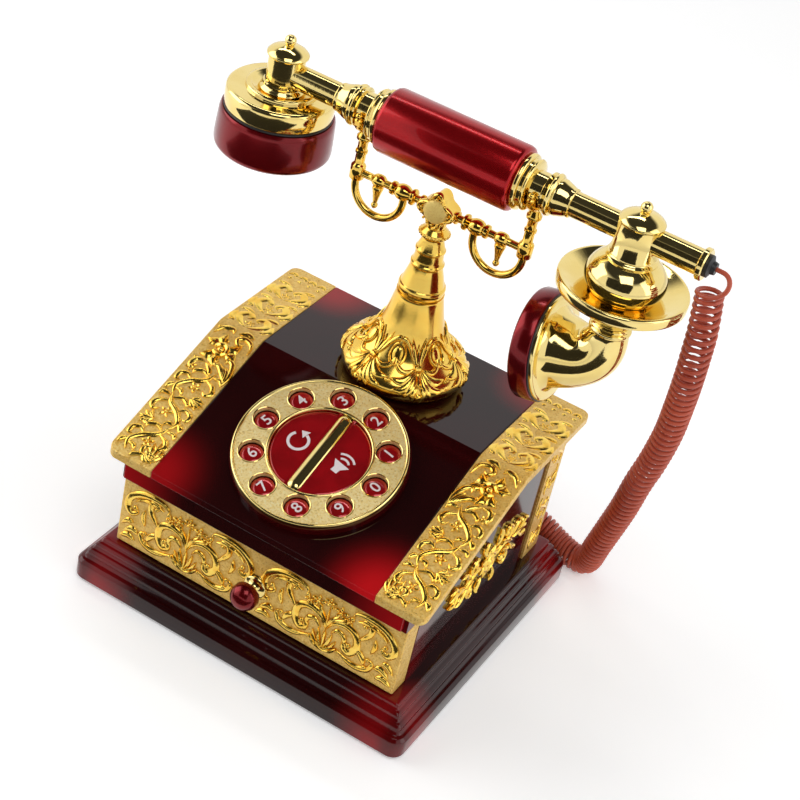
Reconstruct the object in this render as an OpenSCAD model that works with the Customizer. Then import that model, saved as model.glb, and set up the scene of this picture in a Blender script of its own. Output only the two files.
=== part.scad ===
// Novelty telephone in the shape of an antique desk set: a stepped plinth, a drawer case under a
// mansard roof, a push-button dial, a turned pillar with a fork cradle, and a long gilt handset.
// X runs along the handset, -Y is the drawer side, +Z is up. The origin is the middle of the
// footprint, on the surface that the feet stand on.

/* [Plinth] */
// Width of the plinth
plinth_w = 200; // [190:1:220]
// Depth of the plinth
plinth_d = 186; // [180:1:200]
// Height of the plinth's deck
plinth_h = 26; // [24:0.5:30]
// Height of the plinth's lower slab
slab_h = 12.5; // [11:0.5:14]
// Radius of the plinth's upright corners
plinth_r = 7; // [5:0.5:10]
// Thickness of the moulded walls
wall = 3; // [2.5:0.1:3.5]
// Height of the rubber feet
foot_h = 1.5; // [1:0.1:2.5]

/* [Case] */
// Width of the case and of its drawer front
case_w = 168; // [160:1:172]
// Depth of the case, from the drawer's face to the back
case_d = 155; // [150:1:158]
// How far the middle of the case stands in front of the middle of the plinth
case_shift = 2.5; // [0:0.5:5]
// Height of the drawer front
drawer_h = 41; // [36:0.5:42]
// Thickness of the drawer front
drawer_t = 13; // [10:0.5:15]

/* [Roof] */
// Width of the roof
roof_w = 186; // [180:1:192]
// Height of the front edge of the roof
eave_z = 85.5; // [83:0.5:90]
// Height of the level back part of the roof
ridge_z = 118.7; // [114:0.1:122]
// How far the ridge lies behind the middle of the plinth
ridge_y = 5; // [2:0.5:7]
// How far the roof stands out in front of the drawer's face
eave_out = 6.5; // [6:0.5:9]
// Width of the gilt strips at the two ends of the roof
strip_w = 27.2; // [25:0.2:29]
// Thickness of the gilt strips
strip_t = 4.5; // [4:0.1:5]

/* [Dial] */
// Diameter of the dial's ring
dial_d = 89; // [84:0.5:89]
// Diameter of the opening in the dial's ring
dial_in = 51.2; // [49:0.2:52]
// Diameter of a finger hole
hole_d = 13; // [12:0.1:13.4]
// Height of the dial above the roof
dial_h = 6.4; // [6:0.1:7.5]

/* [Pillar and cradle] */
// How far the pillar stands behind the middle of the plinth
pillar_y = 37.2; // [37:0.2:40]
// Diameter of the pillar's flared foot
pillar_d = 66; // [60:0.5:68]
// Height of the cradle's bar
bar_z = 217; // [215:0.5:222]
// Distance between the two forks
fork_span = 96.8; // [96:0.2:98]
// Height of the pillar's flared foot
foot_rise = 50; // [46:0.5:54]
// How far the cradle rises when the handset is lifted
hook_travel = 3; // [2:0.5:4]

/* [Handset] */
// Height of the handset's tube above the cradle's bar
handset_up = 34.7; // [34:0.1:37]
// Diameter of the handset's tube
tube_d = 13; // [12:0.1:13.5]
// Diameter of the grip
grip_d = 34; // [32:0.5:36]
// Length of the grip
grip_l = 75.6; // [72:0.2:77]
// Distance of the earpiece from the pillar
ear_x = 98.8; // [96:0.2:104]
// Diameter of the earpiece
ear_d = 61; // [56:0.5:64]
// Drop from the tube to the earpiece's lower face
ear_drop = 43.5; // [42:0.5:46]
// Distance of the mouthpiece's hub from the pillar
mouth_x = 100.7; // [98:0.2:106]
// Diameter of the saucer over the mouthpiece
saucer_d = 65; // [60:0.5:66]
// Drop from the tube to the saucer's underside
saucer_drop = 55; // [54:0.2:57]
// Drop from the tube to the middle of the mouthpiece
mouth_drop = 79.6; // [79:0.2:82]
// How far the mouthpiece's back stands towards the pillar from its hub
mouth_in = 28.7; // [28:0.1:30]
// Diameter of the mouthpiece's cup
mouth_d = 56.8; // [52:0.2:58]
// Distance of the tube's far end from the pillar
tube_end = 134.5; // [133:0.5:138]

/* [Cord] */
// Outer diameter of the curly cord
coil_d = 14; // [12:0.5:15]
// Diameter of the cord's own wire
wire_d = 2.6; // [2.2:0.1:3]

/* [Hidden] */
$fn = 48;

gap = 0.3;              // clearance between pieces that move past each other
fit = 0.05;             // clearance of a fixed pin or tube in its bore
face_y = -case_d / 2 - case_shift;
back_y = case_d / 2 - case_shift;
case_front = face_y + drawer_t;
drawer_z = plinth_h + 0.8;
drawer_top = drawer_z + drawer_h;
bed_t = 2.5;            // the roof shell's own thickness under the strips
roof_t = strip_t + bed_t;
roof_y0 = face_y - eave_out;
roof_y1 = back_y + 2;
slope = atan((ridge_z - eave_z) / (ridge_y - roof_y0));
slope_l = norm([ridge_z - eave_z, ridge_y - roof_y0]);
nose_y = face_y - 2.2;  // the case's front edge above the drawer
nose_z = drawer_top + 1.7;
skirt_w = case_w - 4;
skirt_z = nose_z + 1.8;
bay_top = drawer_top - 4;
tray_w = case_w - 20;
tray_d = case_d - drawer_t - 14;
tray_h = drawer_h - 10;

base_h = 3.4;           // height of the dial's dark base
dial_s = 51.8;          // distance of the dial's middle up the slope from the eave
hole_r = hole_d / 2;
hole_circle = dial_d / 2 - 4.1 - hole_r;
button_r = hole_r - gap;
flange_r = hole_r + 0.4;
digit_turn = 32;        // direction of the "1" hole, measured from +X towards the ridge
button_travel = 1.2;
pocket_z = base_h - button_travel - 1.6;    // floor of the pockets that the buttons sink into
moon_r = dial_in / 2 - gap;
moon_lip = moon_r + 0.6;
bar_w = 5;

axis_z = bar_z + handset_up;
tube_r = tube_d / 2;
bore_r = tube_r + fit;   // bore of what is pushed onto the tube
fork_x = fork_span / 2;
neck_r = 8.6;           // the collars' necks, which lie in the forks
fork_w = 5.4;
ear_r = ear_d / 2;
mouth_r = mouth_d / 2;
mouth_tilt = 11;        // how far the mouthpiece looks down
mouth_c = [mouth_x - mouth_in, 0, axis_z - mouth_drop];   // middle of the back of the mouthpiece's cup
horn_top = axis_z - saucer_drop;
socket_x = 46;
socket_z = 40;

function roof_z(y) = y < ridge_y ? eave_z + (y - roof_y0) * tan(slope) : ridge_z;
function under(y) = roof_z(y) - roof_t;

// ---- shapes that several pieces use ----

module rrect(w, d, r) {
    square([w - 2 * r, d], center = true);
    square([w, d - 2 * r], center = true);
    for (x = [-1, 1], y = [-1, 1])
        translate([x * (w / 2 - r), y * (d / 2 - r)])
            circle(r);
}

module slab(w, d, r, z0, z1) {
    translate([0, 0, z0])
        linear_extrude(z1 - z0)
            rrect(w, d, r);
}

module block(x0, x1, y0, y1, z0, z1) {
    translate([x0, y0, z0])
        cube([x1 - x0, y1 - y0, z1 - z0]);
}

// A side view in y and z, given a thickness from x0 to x1
module side_plate(points, x0, x1) {
    translate([x0, 0, 0])
        rotate([90, 0, 90])
            linear_extrude(x1 - x0)
                polygon(points);
}

module on_slope(x, s) {
    translate([x, roof_y0 + s * cos(slope), eave_z + s * sin(slope)])
        rotate([slope, 0, 0])
            children();
}

module on_dial() {
    on_slope(0, dial_s)
        children();
}

module arc2d(r, w, a0, a1) {
    intersection() {
        difference() {
            circle(r + w / 2);
            circle(r - w / 2);
        }
        polygon([[0, 0], for (a = [a0 : (a1 - a0) / 6 : a1]) 3 * r * [cos(a), sin(a)]]);
    }
}

module leaf2d(l, w) {
    r = (l * l + w * w) / (4 * w);
    intersection() {
        translate([l / 2, w / 2 - r])
            circle(r);
        translate([l / 2, r - w / 2])
            circle(r);
    }
}

// One spray of scrolls: a stem with a pair of C-scrolls, leaves and a boss
module spray2d(h) {
    for (m = [0, 1])
        mirror([m, 0]) {
            translate([h * 0.26, -h * 0.08])
                arc2d(h * 0.22, h * 0.07, -60, 200);
            translate([h * 0.3, h * 0.24])
                arc2d(h * 0.12, h * 0.05, 150, 420);
            rotate(52)
                leaf2d(h * 0.42, h * 0.12);
            translate([h * 0.06, -h * 0.3])
                rotate(-12)
                    leaf2d(h * 0.42, h * 0.11);
        }
    translate([0, -h * 0.4])
        rotate(90)
            leaf2d(h * 0.82, h * 0.1);
    circle(h * 0.08);
}

// A wide group of scrolls: a spray between two outer scrolls under an arch
module scroll_group2d(h) {
    spray2d(h * 0.86);
    for (m = [0, 1])
        mirror([m, 0]) {
            translate([h * 0.66, h * 0.06])
                arc2d(h * 0.24, h * 0.06, -100, 190);
            translate([h * 0.6, -h * 0.24])
                arc2d(h * 0.14, h * 0.05, 170, 430);
            translate([h * 0.34, h * 0.3])
                rotate(6)
                    leaf2d(h * 0.52, h * 0.1);
            translate([h * 0.3, -h * 0.36])
                rotate(-4)
                    leaf2d(h * 0.56, h * 0.1);
        }
}

// Pieces turned about the handset's tube, its hubs or the drawer's knob
module turned_x(points) {
    translate([0, pillar_y, axis_z])
        rotate([0, 90, 0])
            rotate_extrude()
                polygon(points);
}

module turned_z(x, points) {
    translate([x, pillar_y, 0])
        rotate_extrude()
            polygon(points);
}

// ---- tubes that follow a route ----

function unit(v) = v / norm(v);

function between(a, b, c, d, t) =
    (2 * b + (c - a) * t + (2 * a - 5 * b + 4 * c - d) * t * t
        + (3 * b - a - 3 * c + d) * t * t * t) / 2;

function smooth(p, n) = [
    for (i = [0 : len(p) - 2], j = [0 : n - 1])
        between(p[max(i - 1, 0)], p[i], p[i + 1], p[min(i + 2, len(p) - 1)], j / n),
    p[len(p) - 1]
];

function tangents(p) = [
    for (i = [0 : len(p) - 1])
        unit(p[min(i + 1, len(p) - 1)] - p[max(i - 1, 0)])
];

function across(n, t) = unit(n - (n * t) * t);

function sides_of(t, n0) = [
    for (i = 0, n = across(n0, t[0]); i < len(t);
         i = i + 1, n = i < len(t) ? across(n, t[i]) : n)
        n
];

module tube(path, radii, sides, n0) {
    t = tangents(path);
    n = sides_of(t, n0);
    last = len(path) - 1;
    points = [
        for (i = [0 : last], k = [0 : sides - 1])
            path[i] + radii[i] * (cos(360 * k / sides) * n[i]
                + sin(360 * k / sides) * cross(t[i], n[i]))
    ];
    faces = [
        [for (k = [0 : sides - 1]) k],
        for (i = [0 : last - 1], k = [0 : sides - 1])
            [i * sides + k, (i + 1) * sides + k,
             (i + 1) * sides + (k + 1) % sides, i * sides + (k + 1) % sides],
        [for (k = [sides - 1 : -1 : 0]) last * sides + k]
    ];
    polyhedron(points, faces, convexity = 6);
}

// ---- plinth ----

rise = plinth_h - slab_h;
deck_in = 10.8;         // how far the deck's edge stands in from the slab

// The moulding's side view: how far each point stands in from the slab, and its height
moulding = [
    [0, foot_h], [0, slab_h - 1.3],
    for (p = [
        [1.6, 0.03], [3.4, 0.07], [4.4, 0.19], [4.4, 0.35], [5.6, 0.44], [6.6, 0.47],
        [7.4, 0.57], [7.4, 0.67], [8.4, 0.75], [9.4, 0.79], [10, 0.85], [10, 0.94]
    ])
        [p[0], slab_h + p[1] * rise],
    [deck_in, plinth_h]
];
cover_t = 3;
cover_in = 3;
cover_top = foot_h + cover_t;

// The moulding on two opposite sides, w apart
module moulding_2d(w) {
    polygon([
        for (p = moulding) [w / 2 - p[0], p[1]],
        for (i = [len(moulding) - 1 : -1 : 0]) [moulding[i][0] - w / 2, moulding[i][1]]
    ]);
}

module plinth() {
    color([0.2, 0.02, 0.03])
    difference() {
        intersection() {
            translate([0, plinth_d / 2, 0])
                rotate([90, 0, 0])
                    linear_extrude(plinth_d)
                        moulding_2d(plinth_w);
            translate([-plinth_w / 2, 0, 0])
                rotate([90, 0, 90])
                    linear_extrude(plinth_w)
                        moulding_2d(plinth_d);
            slab(plinth_w, plinth_d, plinth_r, foot_h, plinth_h);
        }
        slab(plinth_w - 2 * cover_in, plinth_d - 2 * cover_in, plinth_r - 2, foot_h - 1, cover_top);
        slab(plinth_w - 14, plinth_d - 14, plinth_r - 2, cover_top - 1, slab_h);
        slab(plinth_w - 2 * deck_in - 5, plinth_d - 2 * deck_in - 5, plinth_r - 2,
            slab_h - 1, plinth_h - wall);
    }
}

module base_cover() {
    slot_w = 2.4;
    slot_l = 34;
    color([0.07, 0.07, 0.07])
    difference() {
        slab(plinth_w - 2 * cover_in - gap, plinth_d - 2 * cover_in - gap, plinth_r - 2,
            foot_h, cover_top);
        for (i = [-3 : 3])
            block(i * 6 - slot_w / 2, i * 6 + slot_w / 2, -slot_l / 2, slot_l / 2,
                foot_h - 1, cover_top + 1);
    }
}

module feet() {
    color([0.05, 0.05, 0.05])
    for (x = [-1, 1], y = [-1, 1])
        translate([x * (plinth_w / 2 - 16), y * (plinth_d / 2 - 16), 0])
            cylinder(r = 7, h = foot_h);
}

// ---- what the plinth and the case hold ----

// Steel weight on the base cover, behind the plinth's front
module ballast_plate() {
    plate_t = 5;
    color([0.5, 0.5, 0.52])
    translate([0, 36 - plinth_d / 2, 0])
        slab(plinth_w - 70, 44, 3, cover_top, cover_top + plate_t);
}

// Loudspeaker over the base cover's slots: frame, cone and magnet
module loudspeaker() {
    color([0.15, 0.15, 0.16])
    translate([0, 0, cover_top])
        rotate_extrude()
            polygon([
                [24, 0], [28, 0], [28, 2], [14, 8], [14, 14], [0, 14], [0, 8], [12, 6.4]
            ]);
}

board_z = bay_top + 2;
board_up = 5;           // height of the posts under the circuit board

// Board on four posts over the drawer bay's ceiling
module circuit_board() {
    board_w = case_w - 48;
    board_d = 72;
    color([0.05, 0.25, 0.12])
    union() {
        for (x = [-1, 1], y = [-1, 1])
            translate([x * (board_w / 2 - 5), ridge_y + 20 + y * (board_d / 2 - 5), board_z])
                cylinder(r = 3, h = board_up + 0.5);
        block(-board_w / 2, board_w / 2, ridge_y + 20 - board_d / 2, ridge_y + 20 + board_d / 2,
            board_z + board_up, board_z + board_up + 1.6);
        for (x = [-36 : 18 : 36])
            block(x - 6, x + 6, ridge_y - 6, ridge_y + 4, board_z + board_up + 1.5,
                board_z + board_up + 4 + (x > 0 ? 2 : 0));
    }
}

rod_end = ridge_z - roof_t - 12;

// Two contact leaves on a post of the board; the cradle's rod presses on the upper one
module hook_switch() {
    z = board_z + board_up + 1.6;
    color([0.7, 0.6, 0.35])
    union() {
        block(-4, 4, pillar_y + 7, pillar_y + 15, z, rod_end + 2);
        block(-2.5, 2.5, pillar_y - 5, pillar_y + 8, rod_end - gap - 0.6, rod_end - gap);
        block(-2.5, 2.5, pillar_y - 5, pillar_y + 8, rod_end - hook_travel - 1,
            rod_end - hook_travel - 0.4);
    }
}

// ---- case ----

module housing() {
    inner = case_w / 2 - wall;
    outline = [
        [case_front, plinth_h], [back_y, plinth_h], [back_y, under(back_y)],
        [ridge_y, under(ridge_y)], [nose_y, under(nose_y)], [nose_y, nose_z],
        [case_front, nose_z]
    ];
    color([0.13, 0.02, 0.03])
    union() {
        side_plate(outline, -case_w / 2, -inner);
        side_plate(outline, inner, case_w / 2);
        // the frame around the drawer's bay
        difference() {
            block(-inner, inner, case_front, case_front + wall, plinth_h, nose_z + wall);
            block(-tray_w / 2 - 1, tray_w / 2 + 1, case_front - 1, case_front + wall + 1,
                plinth_h - 1, bay_top);
        }
        // the bay's ceiling, and the nose over the drawer front
        block(-inner, inner, case_front, back_y - wall - 2, bay_top, bay_top + 2);
        block(-inner, inner, nose_y, case_front + wall, nose_z, nose_z + wall);
        block(-inner, inner, nose_y, nose_y + wall, nose_z, under(nose_y));
        // rails beside the tray
        for (s = [-1, 1])
            block(s > 0 ? tray_w / 2 + 1 : -tray_w / 2 - 4, s > 0 ? tray_w / 2 + 4 : -tray_w / 2 - 1,
                case_front, back_y - wall - 2, plinth_h, bay_top);
    }
}

switch_x = -34;
line_x = 4;

module back_panel() {
    inner = case_w / 2 - wall;
    color([0.1, 0.02, 0.03])
    difference() {
        block(-inner, inner, back_y - wall, back_y, plinth_h, under(back_y));
        block(socket_x - 6.5, socket_x + 6.5, back_y - wall - 1, back_y + 1,
            socket_z - 6, socket_z + 6);
        block(line_x - 7.5, line_x + 7.5, back_y - wall - 1, back_y + 1,
            socket_z - 6, socket_z + 6);
        block(switch_x - 7, switch_x + 7, back_y - wall - 1, back_y + 1,
            socket_z - 2.6, socket_z + 2.6);
        for (i = [-3 : 3])
            block(i * 9 - 1.2, i * 9 + 1.2, back_y - wall - 1, back_y + 1, 78, 100);
    }
}

module handset_socket() {
    color([0.06, 0.06, 0.06])
    difference() {
        union() {
            block(socket_x - 6.5, socket_x + 6.5, back_y - 12, back_y + 1,
                socket_z - 6, socket_z + 6);
            block(socket_x - 8, socket_x + 8, back_y, back_y + 1, socket_z - 7.5, socket_z + 7.5);
        }
        block(socket_x - 4, socket_x + 4, back_y - 9, back_y + 2, socket_z - 3.5, socket_z + 3.5);
    }
}

module line_socket() {
    color([0.06, 0.06, 0.06])
    difference() {
        union() {
            block(line_x - 7.5, line_x + 7.5, back_y - 14, back_y + 1,
                socket_z - 6, socket_z + 6);
            block(line_x - 9, line_x + 9, back_y, back_y + 1, socket_z - 7.5, socket_z + 7.5);
        }
        block(line_x - 5.2, line_x + 5.2, back_y - 11, back_y + 2, socket_z - 3.6, socket_z + 3.6);
    }
}

module ringer_slider() {
    color([0.06, 0.06, 0.06])
    union() {
        block(switch_x - 6.7, switch_x - 1, back_y - wall, back_y + 1.8,
            socket_z - 2.3, socket_z + 2.3);
        block(switch_x - 9, switch_x + 1.2, back_y - wall - 1.6, back_y - wall,
            socket_z - 4.5, socket_z + 4.5);
    }
}

// ---- drawer ----

module drawer_front() {
    relief = 1.5;
    // the scroll groups reach 0.9 of their height to each side, and stop before the knob
    group_h = min(drawer_h * 0.88, (case_w / 4 - knob_r - gap) / 0.9);
    color([0.83, 0.66, 0.36])
    union() {
        block(-case_w / 2, case_w / 2, face_y, case_front - 0.2, drawer_z, drawer_top);
        translate([0, face_y + 0.2, (drawer_z + drawer_top) / 2])
            rotate([90, 0, 0])
                linear_extrude(relief + 0.2)
                    for (s = [-1, 1])
                        translate([s * case_w / 4, 0])
                            scroll_group2d(group_h);
    }
}

module drawer_tray() {
    y1 = case_front + tray_d;
    color([0.1, 0.09, 0.09])
    difference() {
        block(-tray_w / 2, tray_w / 2, case_front - 0.2, y1, drawer_z, drawer_z + tray_h);
        block(-tray_w / 2 + 2, tray_w / 2 - 2, case_front + 1.8, y1 - 2,
            drawer_z + 2, drawer_z + tray_h + 1);
    }
}

knob_z = drawer_z + drawer_h * 0.47;
knob_r = 6.6;

module turned_knob(points) {
    translate([0, face_y, knob_z])
        rotate([90, 0, 0])
            rotate_extrude()
                polygon(points);
}

module knob_base() {
    color([0.86, 0.68, 0.3])
    turned_knob([
        [0, 0], [knob_r, 0], [knob_r, 2.8], [4, 3.8], [3.2, 5], [4.4, 7], [5.6, 8], [0, 8]
    ]);
}

module knob_tip() {
    color([0.5, 0.02, 0.05])
    turned_knob([
        [0, 8], [knob_r, 8], [knob_r + 0.8, 9.5], [knob_r + 0.8, 12], [6.2, 14.6], [3.6, 16.2],
        [0, 16.8]
    ]);
}

// ---- roof ----

module roof_band(x0, x1, top, bottom) {
    side_plate([
        [roof_y0, eave_z - top], [ridge_y, ridge_z - top], [roof_y1, ridge_z - top],
        [roof_y1, ridge_z - bottom], [ridge_y, ridge_z - bottom], [roof_y0, eave_z - bottom]
    ], x0, x1);
}

module roof_shell() {
    in_w = roof_w / 2 - strip_w;
    color([0.14, 0.02, 0.03])
    difference() {
        union() {
            roof_band(-in_w, in_w, 0, strip_t);
            intersection() {
                roof_band(-roof_w / 2 + 3, roof_w / 2 - 3, strip_t, roof_t);
                block(-roof_w, roof_w, roof_y0 + 3, roof_y1, 0, ridge_z);
            }
            block(-skirt_w / 2, skirt_w / 2, nose_y - 3, nose_y, skirt_z,
                under(nose_y) + bed_t / 2);
            block(-in_w, in_w, nose_y - 3, nose_y, skirt_z, eave_z - strip_t / 2);
        }
        translate([0, pillar_y, ridge_z - roof_t - 1])
            cylinder(r = rod_r + gap, h = roof_t + 2);
    }
}

// The gilt strip on one end of the roof, with a flower boss, scrolls and leaves
module roof_strip(s) {
    in_w = roof_w / 2 - strip_w;
    mid_x = s * (in_w + strip_w / 2);
    relief = 1.2;
    color([0.86, 0.68, 0.34])
    union() {
        intersection() {
            roof_band(s > 0 ? in_w : -roof_w / 2, s > 0 ? roof_w / 2 : -in_w, 0, strip_t);
            translate([0, (roof_y0 + roof_y1) / 2, 0])
                slab(roof_w, roof_y1 - roof_y0, 5, 0, ridge_z + 1);
        }
        on_slope(mid_x, slope_l * 0.82) {
            cylinder(r = 3.4, h = 3);
            linear_extrude(relief + 0.4)
                for (a = [0 : 60 : 300])
                    rotate(a)
                        leaf2d(11, 4.6);
        }
        for (i = [0 : 2])
            on_slope(mid_x, slope_l * (0.14 + 0.24 * i))
                linear_extrude(relief)
                    rotate(i * 180)
                        spray2d(strip_w * 0.78);
        for (i = [0 : 1])
            translate([mid_x, ridge_y + 20 + 32 * i, ridge_z])
                linear_extrude(relief / 2)
                    rotate(i * 180)
                        spray2d(strip_w * 0.78);
    }
}

// Openwork spray on one side of the case
module side_ornament(s) {
    mid = [case_shift / 2, 58];
    h = 36;
    color([0.86, 0.66, 0.28])
    translate([s > 0 ? case_w / 2 : -case_w / 2 - 2.5, mid[0], mid[1]])
        rotate([90, 0, 90])
            linear_extrude(2.5)
                union() {
                    difference() {
                        circle(7);
                        circle(2.6);
                    }
                    for (a = [0 : 45 : 315])
                        rotate(a)
                            translate([5, 0])
                                leaf2d(a % 90 == 0 ? 13 : 10, 4.6);
                    for (m = [0, 1])
                        mirror([m, 0]) {
                            translate([14, -2])
                                rotate(8)
                                    leaf2d(29, 6);
                            translate([24, 4])
                                arc2d(6.5, 3, -120, 170);
                            translate([24, -4])
                                arc2d(6.5, 3, -170, 120);
                            translate([35, 0])
                                circle(4);
                        }
                }
}

module corner_band(s) {
    t = 1.2;
    color([0.83, 0.66, 0.36])
    block(s > 0 ? case_w / 2 : -case_w / 2 - t, s > 0 ? case_w / 2 + t : -case_w / 2,
        back_y - 17.5, back_y, plinth_h, under(back_y));
}

// ---- dial, drawn lying on the roof's slope ----

module at_hole(digit) {
    turn = digit_turn + 36 * ((digit + 9) % 10);
    rotate(turn)
        translate([hole_circle, 0, 0])
            children();
}

module dial_base() {
    color([0.12, 0.02, 0.03])
    on_dial()
        difference() {
            cylinder(r = dial_d / 2 + 0.7, h = base_h);
            for (d = [0 : 9])
                at_hole(d)
                    translate([0, 0, pocket_z])
                        cylinder(r = flange_r + gap, h = base_h);
            translate([0, 0, pocket_z])
                cylinder(r = moon_lip + gap, h = base_h);
        }
}

module dial_ring() {
    rim = 2;
    color([0.9, 0.75, 0.45])
    on_dial()
        difference() {
            rotate_extrude()
                polygon([
                    [dial_in / 2, base_h], [dial_d / 2, base_h], [dial_d / 2, dial_h - 0.6],
                    [dial_d / 2 - 0.8, dial_h], [dial_d / 2 - rim, dial_h],
                    [dial_d / 2 - rim, dial_h - 0.6], [dial_in / 2 + rim, dial_h - 0.6],
                    [dial_in / 2 + rim, dial_h], [dial_in / 2, dial_h]
                ]);
            for (d = [0 : 9])
                at_hole(d)
                    cylinder(r = hole_r, h = 2 * dial_h);
        }
}

// The bar between the two half-moon buttons, standing on the base's floor
module dial_bar() {
    color([0.86, 0.68, 0.3])
    on_dial()
        intersection() {
            cylinder(r = dial_in / 2 - fit, h = 2 * dial_h);
            union() {
                translate([-bar_w / 2, -dial_in / 2, base_h])
                    cube([bar_w, dial_in, dial_h - base_h]);
                translate([-bar_w / 2 + 1.2, -dial_in / 2, pocket_z])
                    cube([bar_w - 2.4, dial_in, dial_h - pocket_z - 0.4]);
            }
        }
}

module digit_button(digit) {
    color([0.65, 0.04, 0.05])
    on_dial()
        at_hole(digit)
            rotate_extrude()
                polygon([
                    [0, base_h - 1], [flange_r, base_h - 1], [flange_r, base_h],
                    [button_r, base_h], [button_r, dial_h - 1.4], [button_r - 0.8, dial_h - 0.8],
                    [0, dial_h - 0.5]
                ]);
}

// A half-moon button to one side of the bar; its lip runs under the ring and the bar
module half_moon(s) {
    color([0.65, 0.04, 0.05])
    on_dial()
        difference() {
            union() {
                translate([0, 0, base_h - 1])
                    cylinder(r = moon_lip, h = 1);
                cylinder(r = moon_r, h = dial_h - 0.9);
            }
            translate([0, 0, -1])
                cylinder(r = 2 * moon_r, h = base_h);
            block(s > 0 ? -2 * moon_r : -bar_w / 2 + 1.2 - gap,
                s > 0 ? bar_w / 2 - 1.2 + gap : 2 * moon_r,
                -2 * moon_r, 2 * moon_r, -1, 2 * dial_h);
            block(s > 0 ? -2 * moon_r : -bar_w / 2 - gap, s > 0 ? bar_w / 2 + gap : 2 * moon_r,
                -2 * moon_r, 2 * moon_r, base_h, 2 * dial_h);
        }
}

// ---- pillar and cradle ----

column_z = ridge_z + foot_rise;
column_top = bar_z - 9.4;
rod_r = 3;
bar_r = 2;

module pillar_foot() {
    r = pillar_d / 2;
    z = ridge_z;
    flare = [
        [r - 1, z], [r, z + 2], [r, z + 9], [r - 0.8, z + 12.5], [r - 2.2, z + 16],
        [r - 4.8, z + 19.6], [r - 8.4, z + 23.4], [r - 13, z + 27.6], [r - 16.4, z + 32],
        [r - 18.8, z + 37], [r - 20.2, z + 43]
    ];
    last = len(flare) - 1;
    color([0.86, 0.66, 0.24])
    turned_z(0, [
        each flare,
        [r - 21.2, column_z], [rod_r + gap, column_z], [rod_r + gap, flare[last][1]],
        for (i = [last : -1 : 0]) [flare[i][0] - wall, flare[i][1]]
    ]);
}

module pillar_column() {
    z = column_z;
    h = column_top - column_z;
    color([0.86, 0.66, 0.24])
    turned_z(0, [
        [rod_r + gap, z], [11.6, z], [12.8, z + 1], [12.8, z + 2.6], [11.8, z + 3.4],
        [12, z + 5], [11, z + 6.2], [9.7, z + h * 0.37], [10, z + h * 0.39], [10, z + h * 0.42],
        [8.7, z + h * 0.44], [8.9, z + h * 0.52], [8, z + h * 0.55], [8.3, z + h * 0.6],
        [7.4, z + h * 0.64], [7.5, z + h * 0.7], [5.3, z + h * 0.78], [4.9, z + h * 0.83],
        [7, z + h * 0.88], [7.2, z + h * 0.94], [5.6, z + h], [rod_r + gap, z + h]
    ]);
}

// The head over the pillar, with a beaded octofoil face and the rod that runs down the pillar
module cradle_head() {
    color([0.88, 0.68, 0.26])
    union() {
        difference() {
            translate([0, pillar_y + 5, bar_z + 1])
                rotate([90, 0, 0])
                    cylinder(r = 8.6, h = 9);
            translate([-10, pillar_y, bar_z])
                rotate([0, 90, 0])
                    cylinder(r = bar_r + fit, h = 20);
        }
        translate([0, pillar_y - 4, bar_z + 1])
            rotate([90, 0, 0])
                linear_extrude(2.5)
                    union() {
                        circle(7.4);
                        for (a = [0 : 45 : 315])
                            rotate(a)
                                translate([7, 0])
                                    circle(a % 90 == 0 ? 3 : 2.6);
                    }
        translate([0, pillar_y, rod_end])
            cylinder(r = rod_r, h = column_top - rod_end + 2);
        translate([0, pillar_y, column_top])
            cylinder(r = 5, h = 5);
    }
}

ring_in = 20.4;         // where the ring's inner leg joins the bar
ring_r = (fork_x - ring_in) / 2;
ring_wire = 1.8;
ring_drop = 6;

// The turned bar with its beads and collars, a pendant and an open ring on each side
module cradle_bar() {
    half = [
        [0, 0], [bar_r, 0], [bar_r, 9.2], [3.4, 9.2], [3.4, 10.8], [bar_r, 11.4], [bar_r, 13.6],
        [4.4, 14.4], [4.4, 16.2], [2.6, 17], [4.2, 19.4], [4.2, 23.2], [2.6, 25.4], [3.6, 26],
        [3.6, 27.8], [bar_r, 28.6], [bar_r, 31.6], [3.4, 33.4], [3.4, 37.4], [bar_r, 39.2],
        [bar_r, fork_x - 7], [0, fork_x - 7]
    ];
    color([0.88, 0.68, 0.26])
    union() {
        for (s = [-1, 1]) {
            translate([0, pillar_y, bar_z])
                rotate([0, s * 90, 0])
                    rotate_extrude()
                        polygon(half);
            // pendant under the outer bead
            translate([s * 35.4, pillar_y, bar_z])
                rotate_extrude()
                    polygon([
                        [0, 0], [2, 0], [2, -3], [2.9, -3.4], [2.9, -5], [1.3, -12.6],
                        [1.8, -13.4], [1.8, -15.2], [0, -16.2]
                    ]);
            cradle_ring(s);
        }
    }
}

// The ring hangs between the oval bead, which it joins, and the fork's end block
module cradle_ring(s) {
    translate([s * (ring_in + ring_r), pillar_y, bar_z - ring_drop]) {
        rotate([90, 0, 0])
            rotate([0, 0, 180])
                rotate_extrude(angle = 180)
                    translate([ring_r, 0])
                        circle(ring_wire);
        translate([s * ring_r, 0, 0])
            cylinder(r = ring_wire, h = ring_drop - block_h / 2 - fit);
        translate([-s * ring_r, 0, 0])
            cylinder(r = ring_wire, h = ring_drop - 2);
    }
}

block_h = 8.4;          // height of the end block that a fork's post stands on

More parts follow.
